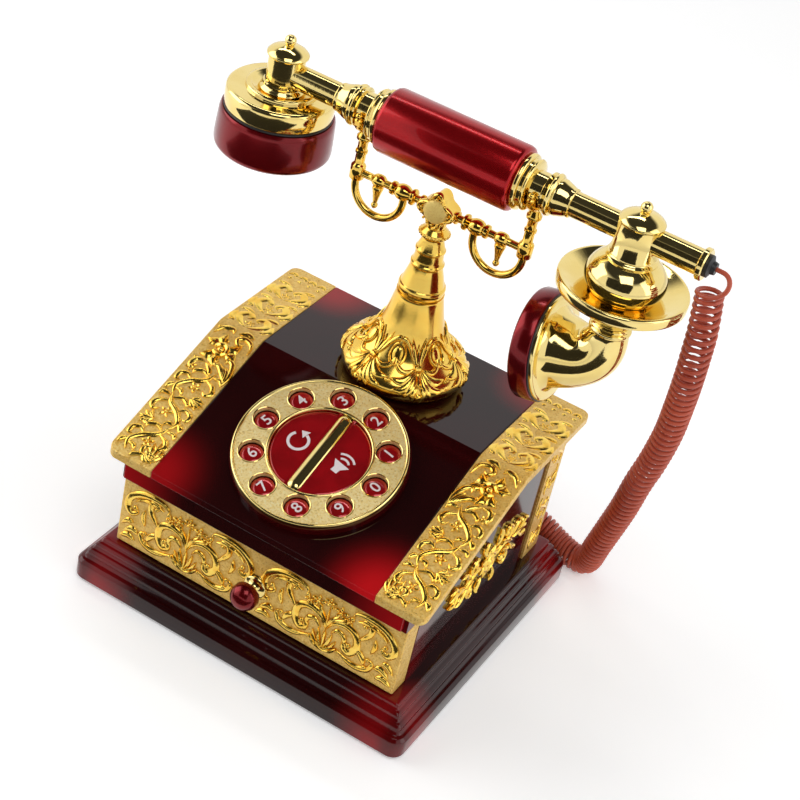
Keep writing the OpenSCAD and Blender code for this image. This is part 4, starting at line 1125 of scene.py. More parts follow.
BAR_LEVELS = [
    (1.0, 2.4), (1.0, 5.0), (0, 5.02), (0, 5.1), (0.3, 5.34), (0.7, 5.61), (1.2, 5.88),
    (1.8, 6.12), (2.4, 6.29), (2.9, 6.37), (3.25, DIAL_H),
]

KNOB_Z = DRAWER_Z0 + (DRAWER_Z1 - DRAWER_Z0) * 0.47
KNOB_BASE = [(0, 0), (6.4, 0), (6.6, 0.8), (6.2, 1.8), (4.6, 2.6), (3.4, 3.8), (3.2, 5), (3.8, 6.2),
             (5.2, 7.2), (5.6, 7.8), (5.4, 8.0), (0, 8.0)]
KNOB_TIP = [(0, 8.05), (6.6, 8.1), (7.2, 8.6), (7.4, 10), (7.2, 12), (6.0, 14.2), (3.8, 16),
            (0, 16.8)]
BED_T, BED_IN = 2.5, 3.0
FASCIA_X, FASCIA_Y, FASCIA_Z0, FASCIA_T = 82.0, -85.2, 71.3, 3.0


# ---- pillar and cradle ----

FOOT_PROFILE = [
    (27.0, 118.7), (29.5, 119.3), (31.6, 121.2), (32.8, 123.6), (33.2, 126.0), (32.8, 128.0),
    (31.4, 130.0), (29.2, 132.0), (26.4, 134.2), (23.6, 136.6), (21.2, 139.4), (19.2, 142.6),
    (17.6, 146.2), (16.2, 150.4), (15.1, 154.5), (14.1, 159.0), (13.2, 163.4), (12.4, 167.0),
]
FOOT_INSIDE = [(3.4, 168.7), (3.4, 152), (10, 147), (15, 140), (22, 133.5), (28, 127.5), (28, 121),
               (25, 118.7)]
COLUMN_PROFILE = [
    (3.4, 168.7), (12.0, 168.7), (11.8, 170.4), (12.1, 171.0), (12.3, 172.2), (12.0, 173.4),
    (11.2, 173.9), (11.0, 174.8), (9.4, 180.5), (8.3, 184.8), (8.7, 185.5), (8.8, 186.5),
    (8.1, 187.2), (7.6, 188.6), (7.3, 193.0), (7.8, 193.6), (7.9, 194.6), (7.3, 195.3),
    (6.7, 197.0), (5.9, 199.4), (5.5, 200.8), (5.9, 201.6), (7.3, 202.4), (7.8, 203.6),
    (7.5, 205.0), (6.2, 206.2), (5.4, 207.0), (5.2, 207.6), (3.4, 207.6),
]


FOOT_LOW, FOOT_STRETCH = 123, 1.22      # v at the foot's shoulder, and the millimetres in one v
FOOT_BEND, BETWEEN = 25.0, 13.09        # the radius that u goes round at, and u between two bows


def foot_place(v):
    """Radius, height and outward normal at v, which runs up the foot's side from 123 to 151.5."""
    rows = [row for row in flow(FOOT_PROFILE, 4) if row.y < 150.5]
    left = (v - FOOT_LOW) * FOOT_STRETCH
    at = next(i for i, row in enumerate(rows) if row.y > 121.4)
    step = 1 if left > 0 else -1
    left = abs(left)
    while 0 < at + step < len(rows) - 1 and (rows[at + step] - rows[at]).length < left:
        left -= (rows[at + step] - rows[at]).length
        at += step
    run = (rows[at + step] - rows[at]).normalized()
    point = rows[at] + run * left
    return point, Vector((run.y, -run.x)) * step


# one half of a bow: points, widths, and the taper and steps where they aren't the usual ones
BOW = [
    ([(0.6, 139), (2.4, 145), (5.4, 151.5)], [1.3, 2.6, 0.9]),
    ([(1.2, 139.5), (5.4, 146.4), (9.6, 149.6), (13.1, 150)], [1.4, 2.0, 1.7], (0.2, 0.02)),
    ([(1.6, 138.6), (7, 136.4), (11.6, 139), (12.8, 143)], [1.3, 2.0, 1.0]),
    ([(1.6, 138), (7, 132.6), (12.4, 132.8)], [1.4, 3.0, 1.2]),
    ([(1.4, 137.4), (5.4, 129.6), (10.6, 128.2)], [1.4, 2.8, 1.2]),
    ([(1, 136.8), (3, 130), (5.6, 125.6)], [1.2, 2.2, 1.0]),
    ([(0.4, 131), (2.3, 127.4), (0.6, 123)], [1.0, 1.8, 1.0], (0.25, 0.25), 4),
]


def foot_bow(turn, h):
    """One bow of acanthus, turned by so many degrees, with the drop under it and a boss."""
    def lay(u, v, out):
        point, away = foot_place(v)
        r, z = point + away * out
        a = math.radians(turn) + u / FOOT_BEND
        return Vector((r * math.cos(a), PILLAR_Y + r * math.sin(a), z))

    def leaf(points, width, taper=(0.25, 0.25), steps=5, height=1.0, m=1):
        return ridge([(u * m, v) for u, v in points], broad(width, 1.35), h * height, lay, steps,
                     taper)

    add = []
    for m in (1, -1):
        add += [leaf(*row, m=m) for row in BOW]
        add.append(bead(12.4 * m, 131.6, 1.0, h, lay))
    return add + [
        leaf([(0, 139), (0, 144), (0, 149)], [1.2, 1.9, 0.8], height=1.1),
        leaf([(0, 137), (0, 133.6), (0, 130.6)], [1.3, 1.1, 1.3]),
        leaf([(-1.9, 138.4), (0, 138.8), (1.9, 138.4)], [2.0, 2.6, 2.0], (0.1, 0.1), 4, 1.5),
        bead(0, 126.6, 1.5, h * 1.3, lay, 14),
        bead(BETWEEN, 143.4, 3.6, h * 0.9, lay, 20),
        leaf(curl(BETWEEN, 143.4, 4.9, 4.9, 100, 440, 14), [1.0, 1.0], (0.02, 0.02), 3),
    ]


def foot_relief(h):
    """Six bows of acanthus around the foot."""
    return [part for k in range(6) for part in foot_bow(60 * k - 48, h)]


def lobes(r, deep, count, points=96):
    """The outline of a round plate with petals."""
    out = []
    for k in range(points):
        a = 2 * math.pi * k / points
        s = r + deep * math.cos(count * a)
        out.append((s * math.cos(a), s * math.sin(a)))
    return out


def facing_front(z, y):
    """Puts (u, v, out) so that out points to the drawer's side."""
    return Matrix.Translation((0, y, z)) @ Matrix.Rotation(math.pi / 2, 4, "X")


BAR_HALF = [
    (0, 0), (2.0, 0), (2.0, 8.8), (3.3, 9.3), (3.5, 10.0), (3.3, 10.8), (2.1, 11.3), (2.0, 13.4),
    (4.0, 14.2), (4.4, 14.9), (4.2, 16.0), (2.7, 16.8), (3.4, 18.0), (4.2, 19.6), (4.4, 21.3),
    (4.2, 23.0), (3.3, 24.8), (2.6, 25.5), (3.6, 26.0), (3.7, 26.9), (3.5, 27.8), (2.1, 28.5),
    (2.0, 31.8), (2.5, 32.3), (3.3, 33.4), (3.6, 35.4), (3.3, 37.4), (2.5, 38.5), (2.0, 39.0),
    (2.0, 41.4),
]
PENDANT = [
    (0, 0), (1.9, 0), (2.0, -2.6), (2.8, -3.1), (3.0, -4.2), (2.7, -5.2), (1.9, -8.4), (1.2, -12.2),
    (1.2, -12.8), (1.7, -13.4), (1.8, -14.4), (1.2, -15.4), (0, -15.9),
]


RING_X, RING_R, RING_WIRE = 34.4, 14.0, 2.05
PENDANT_X = 35.4


def cradle_half(side):
    """One side of the turned bar: beads, a pendant and the open ring."""
    parts = [lathe(BAR_HALF, along_x(0, BAR_Z, side), 40),
             lathe(PENDANT, upright(side * PENDANT_X, z=BAR_Z), 28)]
    loop = [(RING_X - RING_R, BAR_Z - 3.0), (RING_X - RING_R, BAR_Z - 6.0)]
    loop += [(RING_X + RING_R * math.cos(a), BAR_Z - 6 + RING_R * math.sin(a))
             for a in (math.pi + math.pi * k / 24 for k in range(1, 25))]
    loop += [(RING_X + RING_R, BAR_Z - 4.3)]
    path = [Vector((side * x, PILLAR_Y, z)) for x, z in loop]
    parts.append(tube(path, RING_WIRE, 20, (0, 1, 0)))
    return joined(*parts)


# the fork's post above the bar's line, and the horns' section as (across, out)
POST = [
    (0, -4.2), (3.3, -4.2), (3.9, -3.6), (3.9, 3.4), (3.4, 4.2), (3.0, 4.6), (2.6, 5.4),
    (2.6, 10.4), (3.2, 10.9), (3.2, 12.1), (2.6, 12.6), (2.6, 17.2), (3.1, 17.8), (3.9, 18.6),
    (3.9, 20.4), (3.1, 21.2), (2.6, 24), (0, 24),
]
HORN_SECTION = [
    (-0.5, 0.06), (-0.36, 0.0), (0.36, 0.0), (0.5, 0.06), (0.5, 0.66), (0.3, 1.0), (-0.3, 1.0),
    (-0.5, 0.66),
]
# the horns' inner and outer radius, the degrees they go round, and their width
FORK_IN, FORK_OUT, FORK_TURN, FORK_WIDE = 8.95, 11.4, 176, 5.6


def fork(side):
    """End block, post and the two flat horns that the handset's neck lies in."""
    x = side * FORK_X
    stub = [(0, 41.2), (2.0, 41.2), (2.0, FORK_X), (0, FORK_X)]
    parts = [lathe(POST, upright(x, z=BAR_Z), 32), lathe(stub, along_x(0, BAR_Z, side), 24)]
    # the horns: a rounded band bent round the neck
    verts, n = [], 26
    for k in range(n + 1):
        a = math.radians(-90 + (k / n - 0.5) * FORK_TURN)
        end = abs(k / n - 0.5) * 2
        wide = FORK_WIDE * (1.0 - 0.34 * end ** 3) * (0.5 if k in (0, n) else 1)
        thick = (FORK_OUT - FORK_IN) * (1.0 + 0.25 * end) * (0.6 if k in (0, n) else 1)
        for across, out in HORN_SECTION:
            r = FORK_IN + out * thick
            verts.append(Vector((x + across * wide, PILLAR_Y + r * math.cos(a),
                                 AXIS_Z + r * math.sin(a))))
    parts.append((verts, skin(n + 1, len(HORN_SECTION))))
    for y in (-1, 1):
        parts.append(ball((x, PILLAR_Y + y * (FORK_IN + 1.9), AXIS_Z + 0.5), 1.8, 10, 18))
    return joined(*parts)


ROD_R, ROD_END = 3, 99.7        # the cradle's rod and its lower end
ROD = [
    (0, ROD_END), (2.6, ROD_END), (ROD_R, ROD_END + 0.5), (ROD_R, 207.2), (4.9, 207.6),
    (5.0, 208.4), (5.0, 211.6), (4.5, 212.6), (0, 212.6),
]
PLATE_LEVELS = [(0, 0), (0, 1.5), (0.35, 2.1), (1.0, 2.4), (1.7, 2.1), (1.9, 1.6)]
BLOCK_LEVELS = [(0.6, -9), (0, -8.4), (0, -0.6), (0.6, 0)]
HEAD_FIELD = [(0, 1.2), (6.4, 1.2), (6.3, 2.2), (5.6, 2.8), (3.6, 3.3), (0, 3.5)]


# ---- handset ----

COLLAR = [
    (BORE_R, GRIP_H), (13.4, GRIP_H), (14.3, 38.2), (14.6, 39.2), (14.3, 40.4), (13.4, 40.9),
    (12.7, 41.1), (12.6, 42.6), (13.1, 43.0), (13.3, 43.6), (12.9, 44.3), (11.6, 44.7),
    (10.4, 45.0), (8.6, 45.4),
    (8.6, 51.4), (9.8, 51.7), (10.4, 52.2), (10.4, 53.0), (9.6, 53.5), (9.4, 53.9), (10.5, 54.3),
    (11.0, 55.2), (10.7, 56.2), (9.7, 56.8), (9.2, 57.2), (9.5, 58.0), (9.3, 59.2), (8.6, 61.0),
    (7.9, 63.2), (7.3, 64.8), (7.5, 65.3), (7.2, 66.0), (BORE_R, 66.2),
]


# a finial's cone, in shares of the brim's radius and of the finial's height
CONE = [
    (0.98, 0.05), (0.93, 0.12), (0.84, 0.20), (0.70, 0.29), (0.54, 0.36), (0.40, 0.41),
    (0.30, 0.44), (0.26, 0.46),
]


def finial(hub, brim, brim_z, top_z):
    """Rows above the tube's axis: a thin brim on the hub, a cone that draws in, and a ball."""
    rise = top_z - brim_z
    rows = [(hub, brim_z - 1.5), (brim - 0.4, brim_z - 1.0), (brim, brim_z - 0.5),
            (brim, brim_z + 0.2)]
    rows += [(brim * across, brim_z + rise * up) for across, up in CONE]
    ball_r = rise * 0.30
    turns = [math.radians(a) for a in (-52, -30, -10, 10, 30, 50, 70)]
    rows += [(ball_r * math.cos(a), top_z - ball_r + ball_r * math.sin(a)) for a in turns]
    return rows + [(0, top_z)]


EAR_HUB = [
    (0, -9.5), (11.4, -9.5), (11.8, -8.9), (11.4, -8.2), (10.2, -7.6), (10.0, -7.0), (10.5, -6.5),
    (10.4, -5.7), (9.6, -5.2), (9.5, -3), *finial(9.5, 10.8, 10.1, 20.2),
]
EAR_CAP = [
    (0, 231.0), (27.2, 231.0), (27.9, 231.3), (28.2, 232.0), (28.2, 239.8), (27.9, 240.9),
    (27.0, 241.7), (25.6, 242.0), (19.4, 241.6), (18.8, 241.8), (18.6, 242.4), (18.6, 243.6),
    (18.2, 244.2), (16.6, 244.4), (15.8, 243.9), (15.0, 243.3), (13.2, 242.9), (12.4, 242.2),
    (0, 242.2),
]
# a thin black ring between the ear cap and the cup: painted shade, a dark band that stands in for
# the shadow line under the cap
EAR_SHADOW_RING = [(0, 229.9), (27.9, 229.9), (28.2, 230.2), (28.2, 230.7), (27.9, 231.0), (0, 231.0)]
EAR_CUP = [
    (0, 209.4), (18.0, 209.4), (19.4, 209.2), (20.4, 208.4), (21.6, 208.2), (27.4, 208.2),
    (29.2, 208.7), (30.2, 209.9), (30.5, 211.6), (30.4, 217.0), (29.9, 226.6), (29.5, 228.9),
    (28.9, 229.9), (0, 229.9),
]
MOUTH_HUB = [
    (0, 219.0), (16.3, 219.0), (18.0, 221.0), (19.2, 223.0), (19.9, 225.0), (20.2, 227.3),
    (19.95, 229.5), (19.3, 231.5), (18.2, 233.3), (17.0, 234.9), (15.6, 236.2), (14.1, 237.3),
    (12.5, 238.2), (12.9, 238.6), (13.0, 239.4), (12.4, 240.0), (11.6, 240.3), (11.4, 240.8),
    (11.9, 241.3), (11.8, 242.0), (11.2, 242.5),
]
SAUCER = [
    (0, 196.7), (9.8, 196.7), (10.4, 197.1), (10.7, 198.0), (10.4, 199.0), (9.7, 199.5),
    (10.0, 200.2), (10.6, 200.8), (10.2, 201.6), (9.2, 202.2), (9.4, 203.4), (11.0, 206.2),
    (14.4, 209.6), (19.6, 213.2), (25.6, 216.2), (30.2, 218.0), (31.6, 218.5), (32.4, 219.2),
    (32.5, 220.2), (32.5, 223.2), (32.2, 224.1), (31.4, 224.5), (30.4, 224.2), (27.6, 222.8),
    (22.8, 221.0), (18.6, 219.9), (16.0, 219.5), (0, 219.5),
]


SOUND_HOLES = [(0, 0)] + [(5.4, 60 * k) for k in range(6)] + [(10.8, 30 * k) for k in range(12)]


def with_sound_holes(cup, place_at, low, high):
    """Drills small holes between two heights; place_at gives the place of a hole at (x, y)."""
    profile, drills = [(0, low), (1.3, low), (1.3, high), (0, high)], []
    for r, a in SOUND_HOLES:
        x, y = r * math.cos(math.radians(a)), r * math.sin(math.radians(a))
        drills.append(lathe(profile, place_at(x, y), 20))
    carved(cup, drills, 50)


def hub_profile(rows):
    """Rows given from the tube's axis, as heights above the table."""
    return [(r, AXIS_Z + z) for r, z in rows]


# the mouthpiece's cup, along its own tilted axis
MOUTH_BACK = [(0, -5.7), (25.6, -5.7), (26.8, -5.4), (27.2, -4.8), (27.2, -3.9), (0, -3.9)]
MOUTH_GASKET = [(0, -3.9), (27.8, -3.9), (28.0, -3.6), (27.8, -3.2), (0, -3.2)]
MOUTH_SHELL = [
    (0, -3.2), (26.5, -3.2), (27.8, -3.1), (28.4, -2.4), (28.4, 6.0), (28.0, 7.0), (27.0, 7.6),
    (24.4, 7.6), (23.2, 7.0), (22.0, 5.4), (21.0, 4.8), (0, 4.6),
]


def mouth_place():
    """+Z runs out of the mouthpiece's open face, from the middle of the cup's back."""
    return (Matrix.Translation((MOUTH_X - 28.7, PILLAR_Y, AXIS_Z - 79.6))
            @ Matrix.Rotation(math.radians(-90 - MOUTH_TILT), 4, "Y"))


HORN_R, HORN_GROWS, HORN_FLARE = 10.0, 10.0, 2.4        # radius at the neck, and what it gains


def horn_shape():
    """The horn's line and its radii, from the saucer's neck to the back of the cup."""
    back = mouth_place() @ Vector((0, 0, -5.4))
    away = (mouth_place().to_3x3() @ Vector((0, 0, -1))).normalized()
    neck = Vector((MOUTH_X, PILLAR_Y, AXIS_Z - 55.8))
    line, radii, n = [Vector((MOUTH_X, PILLAR_Y, AXIS_Z - 55.0))], [HORN_R], 36
    for i in range(n + 1):
        t = i / n
        u = 1 - t
        line.append(neck * u ** 3 + (neck - Vector((0, 0, 17))) * (3 * u * u * t)
                    + (back + away * 14) * (3 * u * t * t) + back * t ** 3)
        radii.append(HORN_R + HORN_GROWS * t + HORN_FLARE * max(0.0, (t - 0.9) * 10) ** 2)
    return line, radii


# ---- camera and stage ----

FLOOR_LIFT, FLOOR_HALF = 0.3, 6.0
VIEW_AZIMUTH, VIEW_ELEVATION, VIEW_ROLL = 23.649, 33.983, 12.959
VIEW_PLACE = (0.33551, -0.76116, 0.72008)
SENSOR, VIEW_LENS, VIEW_SHIFT = 36.0, 91.364, (0.02, -0.08)


def make_camera():
    """The camera; its three angles are in degrees, its place in metres."""
    a, e, roll = (math.radians(v) for v in (VIEW_AZIMUTH, VIEW_ELEVATION, VIEW_ROLL))
    ahead = Vector((-math.sin(a) * math.cos(e), math.cos(a) * math.cos(e), -math.sin(e)))
    right = Vector((math.cos(a), math.sin(a), 0))
    up = right.cross(ahead)
    r = right * math.cos(roll) + up * math.sin(roll)
    u = up * math.cos(roll) - right * math.sin(roll)
    data = bpy.data.cameras.new("camera")
    data.sensor_width, data.lens = SENSOR, VIEW_LENS
    data.shift_x, data.shift_y = VIEW_SHIFT
    data.clip_start, data.clip_end = 0.05, 30
    camera = linked("camera", data)
    turn = Matrix((r, u, -ahead)).transposed().to_4x4()
    camera.matrix_world = Matrix.Translation(VIEW_PLACE) @ turn
    bpy.context.scene.camera = camera


def sheet(name, place, turn, x, y, material):
    """A flat piece that reaches x and y to each side of its place."""
    mesh = bpy.data.meshes.new(name)
    mesh.from_pydata([Vector(place) + turn @ Vector(c)
                      for c in ((-x, -y, 0), (x, -y, 0), (x, y, 0), (-x, y, 0))], [],
                     [(0, 1, 2, 3)])
    mesh.materials.append(material)
    return linked(name, mesh)


def turned_to(place, aim):
    """The turn that makes -Z point from place to aim."""
    return (Vector(aim) - Vector(place)).to_track_quat("-Z", "Y")


def make_floor():
    """A floor that looks white, and lights what stands on it a little."""
    t = Tree("floor_white")
    path = t.put("LightPath")
    seen = Value(t, path.outputs["Is Camera Ray"])
    for ray in ("Is Glossy Ray", "Is Transmission Ray"):
        seen = seen.most(Value(t, path.outputs[ray]))
    white = t.surface(Base_Color=(1.0, 1.0, 1.0, 1), Roughness=0.9, Specular_IOR_Level=0.0,
                      Emission_Color=t.mix(seen, (0, 0, 0), (1, 1, 1)),
                      Emission_Strength=FLOOR_LIFT)
    floor = sheet("floor", (0, 0, 0), Quaternion(), FLOOR_HALF, FLOOR_HALF, white)


def make_card(name, place, aim, size, mirrored_only=False):
    """A black card that the polished metal mirrors, as in a studio."""
    black = Tree(name).surface(Base_Color=(0.012, 0.011, 0.010, 1), Roughness=0.9)
    card = sheet(name, place, turned_to(place, aim), size[0] / 2, size[1] / 2, black)
    card.visible_camera = False
    card.visible_diffuse = card.visible_shadow = not mirrored_only


def make_lamp(name, place, aim, size, glow):
    """A soft box whose face shines with the given strength."""
    data = bpy.data.lights.new(name, "AREA")
    data.shape, data.size, data.size_y = "RECTANGLE", size[0], size[1]
    data.energy = glow * math.pi * size[0] * size[1]
    lamp = linked(name, data)
    lamp.location = place
    lamp.rotation_mode = "QUATERNION"
    lamp.rotation_quaternion = turned_to(place, aim)


AIM = (0, 0, 0.14)
# each lamp's name, place, aim, size and glow
LAMPS = [
    ("left_box", (-1.2, -0.35, 0.75), AIM, (1.0, 1.2), 1.7),
    ("right_box", (1.2, 0.15, 0.7), AIM, (0.7, 1.2), 1.2),
    ("top_box", (0.4, -0.65, 1.5), AIM, (0.8, 0.8), 2.6),
    ("strip_box", (-0.54, 0.56, 1.5), (-0.54, 0.04, 0.25), (1.2, 0.13), 5.0),
]
# each card's name, place, aim and size, and whether only mirroring surfaces see it
CARDS = [
    ("camera_card", (0.2, -1.5, 0.95), (0, 0, 0.1), (2.3, 1.4)),
    ("floor_card", (-0.05, -0.44, 0.004), (-0.05, -0.44, -1), (0.9, 0.6), True),
]
HORIZON_TOP, DARK_FROM, DARK = 0.59, 0.78, 0.04


def make_world():
    """A white surround that ends in a dark ceiling; the camera sees white everywhere."""
    world = bpy.data.worlds.new("studio")
    bpy.context.scene.world = world
    world.use_nodes = True
    nodes, links = world.node_tree.nodes, world.node_tree.links
    nodes.clear()
    where = nodes.new("ShaderNodeTexCoord")
    split = nodes.new("ShaderNodeSeparateXYZ")
    fade = nodes.new("ShaderNodeMapRange")
    fade.interpolation_type = "SMOOTHSTEP"
    for name, value in (("From Min", HORIZON_TOP), ("From Max", DARK_FROM), ("To Min", 1.0),
                        ("To Max", DARK)):
        fade.inputs[name].default_value = value
    path = nodes.new("ShaderNodeLightPath")
    glow = nodes.new("ShaderNodeMath")
    glow.operation = "MAXIMUM"
    light = nodes.new("ShaderNodeBackground")
    light.inputs[0].default_value = (1, 1, 1, 1)
    out = nodes.new("ShaderNodeOutputWorld")
    links.new(where.outputs["Object"], split.inputs[0])
    links.new(split.outputs[2], fade.inputs["Value"])
    links.new(fade.outputs["Result"], glow.inputs[0])
    links.new(path.outputs["Is Camera Ray"], glow.inputs[1])
    links.new(glow.outputs[0], light.inputs[1])
    links.new(light.outputs[0], out.inputs[0])
    bpy.context.scene.view_settings.view_transform = "Standard"


# ---- the curly cord ----

LEAD_START, PLUG_END = (140.95, 37.2, 251.7), (46, 86.05, 40)
LEAD_RUN, TOP_BEND, END_BEND = 3.0, (8.0, 12.0), 8.0       # how far each end of the wire runs on
COIL_ROUTE = [
    (141.4, 37.2, 239.5), (142.6, 37.2, 231), (143.8, 38.5, 217), (143.8, 41, 201),
    (143.2, 45, 184), (141.8, 50, 165), (139.6, 56, 144), (134.8, 64, 119), (129.4, 71, 97),
    (124.2, 79, 72),
    (118.4, 87, 49), (113, 94, 28), (109.2, 100, 13), (105, 101.6, 8.4), (98, 102, 8.4),
    (88, 103.6, 10.4), (76, 104.5, 15), (65, 103, 19), (57, 99, 27),
]
OPEN_END = 226.0        # how far down the route the cord's turns hang apart
EASE = 14.0             # how far to each side of that the turns draw together
SWELLS = ((0.35, 17.0, 0), (0.2, 7.3, 1))       # uneven spacing: millimetres, wave and start
TOP_RUN, TOP_SHARE = 26, 0.35           # the topmost turns start closer together
TOP_NARROW, TOP_NARROW_RUN = 0.5, 25    # and narrower
ROUTE_POINTS = 1600
BEFORE_PLUG = (2, 20, 0)        # where the wire comes to the plug from
TURN_POINTS, TOP_POINTS, END_POINTS = 16, 26, 24


def evenly(path, count):
    """The path's points, evenly spaced along it."""
    lengths = [0.0]
    for a, b in zip(path, path[1:]):
        lengths.append(lengths[-1] + (b - a).length)
    out, i = [], 0
    for k in range(count):
        want = lengths[-1] * k / (count - 1)
        while i < len(path) - 2 and lengths[i + 1] < want:
            i += 1
        share = (want - lengths[i]) / max(lengths[i + 1] - lengths[i], 1e-9)
        out.append(path[i].lerp(path[i + 1], min(max(share, 0), 1)))
    return out, lengths[-1]


def swing(start, ahead, before, end, count):
    """A bend of count points that leaves start towards ahead and comes to end from before."""
    out = []
    for k in range(count):
        t, u = k / (count - 1), 1 - k / (count - 1)
        out.append(start * u ** 3 + ahead * (3 * u * u * t) + before * (3 * u * t * t)
                   + end * t ** 3)
    return out


def coil_path(radius, open_pitch, tight_pitch, per_turn):
    """The wire's own line: a thin lead, the helix about the route, and the lead to the plug."""
    dense, length = evenly(flow(COIL_ROUTE, 8), ROUTE_POINTS)
    sides = frames_along(dense, (0, 1, 0))
    # walk down the route, turning faster where the turns lie closer
    step = length / (len(dense) - 1)
    angles = [math.pi]
    for i in range(1, len(dense)):
        s = i * step
        near = min(1.0, max(0.0, (s - OPEN_END + EASE) / (2 * EASE)))
        swell = sum(size * math.sin(s / wave + start) for size, wave, start in SWELLS)
        pitch = (open_pitch + swell) * (1 - near) + tight_pitch * near
        pitch = tight_pitch + (pitch - tight_pitch) * min(1.0, s / TOP_RUN + TOP_SHARE)
        angles.append(angles[-1] + 2 * math.pi * step / pitch)
    points, i = [], 0
    for k in range(int((angles[-1] - angles[0]) / (2 * math.pi) * per_turn)):
        want = angles[0] + 2 * math.pi * k / per_turn
        while angles[i + 1] < want:
            i += 1
        share = (want - angles[i]) / (angles[i + 1] - angles[i])
        across, other = sides[i]
        r = radius - TOP_NARROW * max(0.0, 1 - i * step / TOP_NARROW_RUN)
        points.append(dense[i].lerp(dense[i + 1], share) + across * (r * math.cos(want))
                      + other * (r * math.sin(want)))
    # the wire leaves the last turn where it already heads for the plug
    plug = Vector(PLUG_END)
    before = plug + Vector(BEFORE_PLUG)

    def strays(k):
        return (points[k] - points[k - 1]).angle(before - points[k])
    last = min(range(len(points) - 2 * per_turn, len(points)), key=strays)
    points = points[:last + 1]
    gland = Vector(LEAD_START)
    leaves = gland + Vector((LEAD_RUN, 0, 0))
    top = swing(leaves, leaves + Vector((TOP_BEND[0], 0, 0)),
                points[0] - (points[1] - points[0]).normalized() * TOP_BEND[1], points[0],
                TOP_POINTS)
    end = swing(points[-1], points[-1] + (points[-1] - points[-2]).normalized() * END_BEND, before,
                plug, END_POINTS)
    return [gland, gland + Vector((LEAD_RUN / 2, 0, 0))] + top[:-1] + points + end[1:]


def length_of(path):
    return sum((b - a).length for a, b in zip(path, path[1:]))


class TelephoneSizes(bpy.types.PropertyGroup):
    """Sizes and counts that a user may change."""
    relief: FloatProperty(
        name="Relief", description="Height of the cast relief, in mm",
        default=1.25, min=0.4, max=1.8)
    open_pitch: FloatProperty(
        name="Open pitch", description="Distance between the hanging turns, in mm",
        default=4.4, min=2.8, max=6.0)
    tight_pitch: FloatProperty(
        name="Tight pitch", description="Distance between the lying turns, in mm",
        default=2.65, min=2.5, max=6.0)
    coil: FloatProperty(
        name="Coil", description="Width of the cord's turns outside, in mm",
        default=15.4, min=12.0, max=18.0)
    wire: FloatProperty(
        name="Wire", description="Thickness of the cord's wire, in mm",
        default=2.4, min=1.6, max=3.0)
    wire_sides: IntProperty(
        name="Wire sides", description="Sides of the cord's wire", default=10, min=6, max=16)
    figure_size: FloatProperty(
        name="Figure size", description="Height of the dial's figures, in mm",
        default=8.6, min=5.0, max=10.0)


def sizes():
    return bpy.context.scene.telephone_sizes


class TELEPHONE_OT_stage(bpy.types.Operator):
    """Makes the camera, the floor, the soft boxes and the world"""
    bl_idname = "telephone.stage"
    bl_label = "Stage"

    def execute(self, context):
        make_camera()
        make_floor()
        make_world()
        for lamp in LAMPS:
            make_lamp(*lamp)
        for card in CARDS:
            make_card(*card)
        return {"FINISHED"}


class TELEPHONE_OT_cord(bpy.types.Operator):
    """Winds the curly cord from the handset to its socket"""
    bl_idname = "telephone.cord"
    bl_label = "Curly cord"

    def execute(self, context):
        wire = sizes().wire
        path = coil_path((sizes().coil - wire) / 2, sizes().open_pitch, sizes().tight_pitch,
                         TURN_POINTS)
        verts, faces = tube(path, wire / 2, sizes().wire_sides)
        made = piece("curly_cord", verts, faces, "vinyl", None, "handset_cord", smooth=60)
        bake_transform(made)
        [v * MM for v in LEAD_START]
        length_of(path) * MM
        [tuple(p * MM) for p in path]
        return {"FINISHED"}


KEPT = {
    "black": ("base_cover", "loudspeaker", "handset_socket", "line_socket", "ringer_slider",
              "drawer_tray", "cord_gland", "cord_plug"),
    "rubber": ("feet",), "case": ("housing", "back_panel"),
    "steel": ("ballast_plate", "receiver_capsule", "microphone_capsule"),
    "board": ("circuit_board",), "spring": ("hook_switch",),
    "gilt": ("corner_band_left", "corner_band_right"), "well": ("dial_base",),
}


class TELEPHONE_OT_kept_parts(bpy.types.Operator):
    """Gives the pieces that keep their own shape their finishes"""
    bl_idname = "telephone.kept_parts"
    bl_label = "Kept parts"

    def execute(self, context):
        for finish, nodes in KEPT.items():
            for node in nodes:
                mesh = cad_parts[node].data
                mesh.materials.clear()
                mesh.materials.append(finish_of(finish))
        return {"FINISHED"}


class TELEPHONE_OT_plinth(bpy.types.Operator):
    """Sweeps the plinth's moulding round its footprint"""
    bl_idname = "telephone.plinth"
    bl_label = "Plinth"

    def execute(self, context):
        piece("plinth_moulding", *swept_moulding(), "plinth", "telephone", "plinth", smooth=28)
        return {"FINISHED"}


class TELEPHONE_OT_case(bpy.types.Operator):
    """Makes the openwork sprays and the vines on the case's sides"""
    bl_idname = "telephone.case"
    bl_label = "Case ornament"

    def execute(self, context):
        for side, name in ((-1, "left"), (1, "right")):
            piece("openwork_" + name, *joined(*side_openwork(side, OPENWORK_H)), "relief_plated",
                  "telephone", "side_ornament_" + name)
            piece("vine_" + name, *joined(*band_relief(side, VINE_H)), "relief_gilt", "telephone")
        return {"FINISHED"}


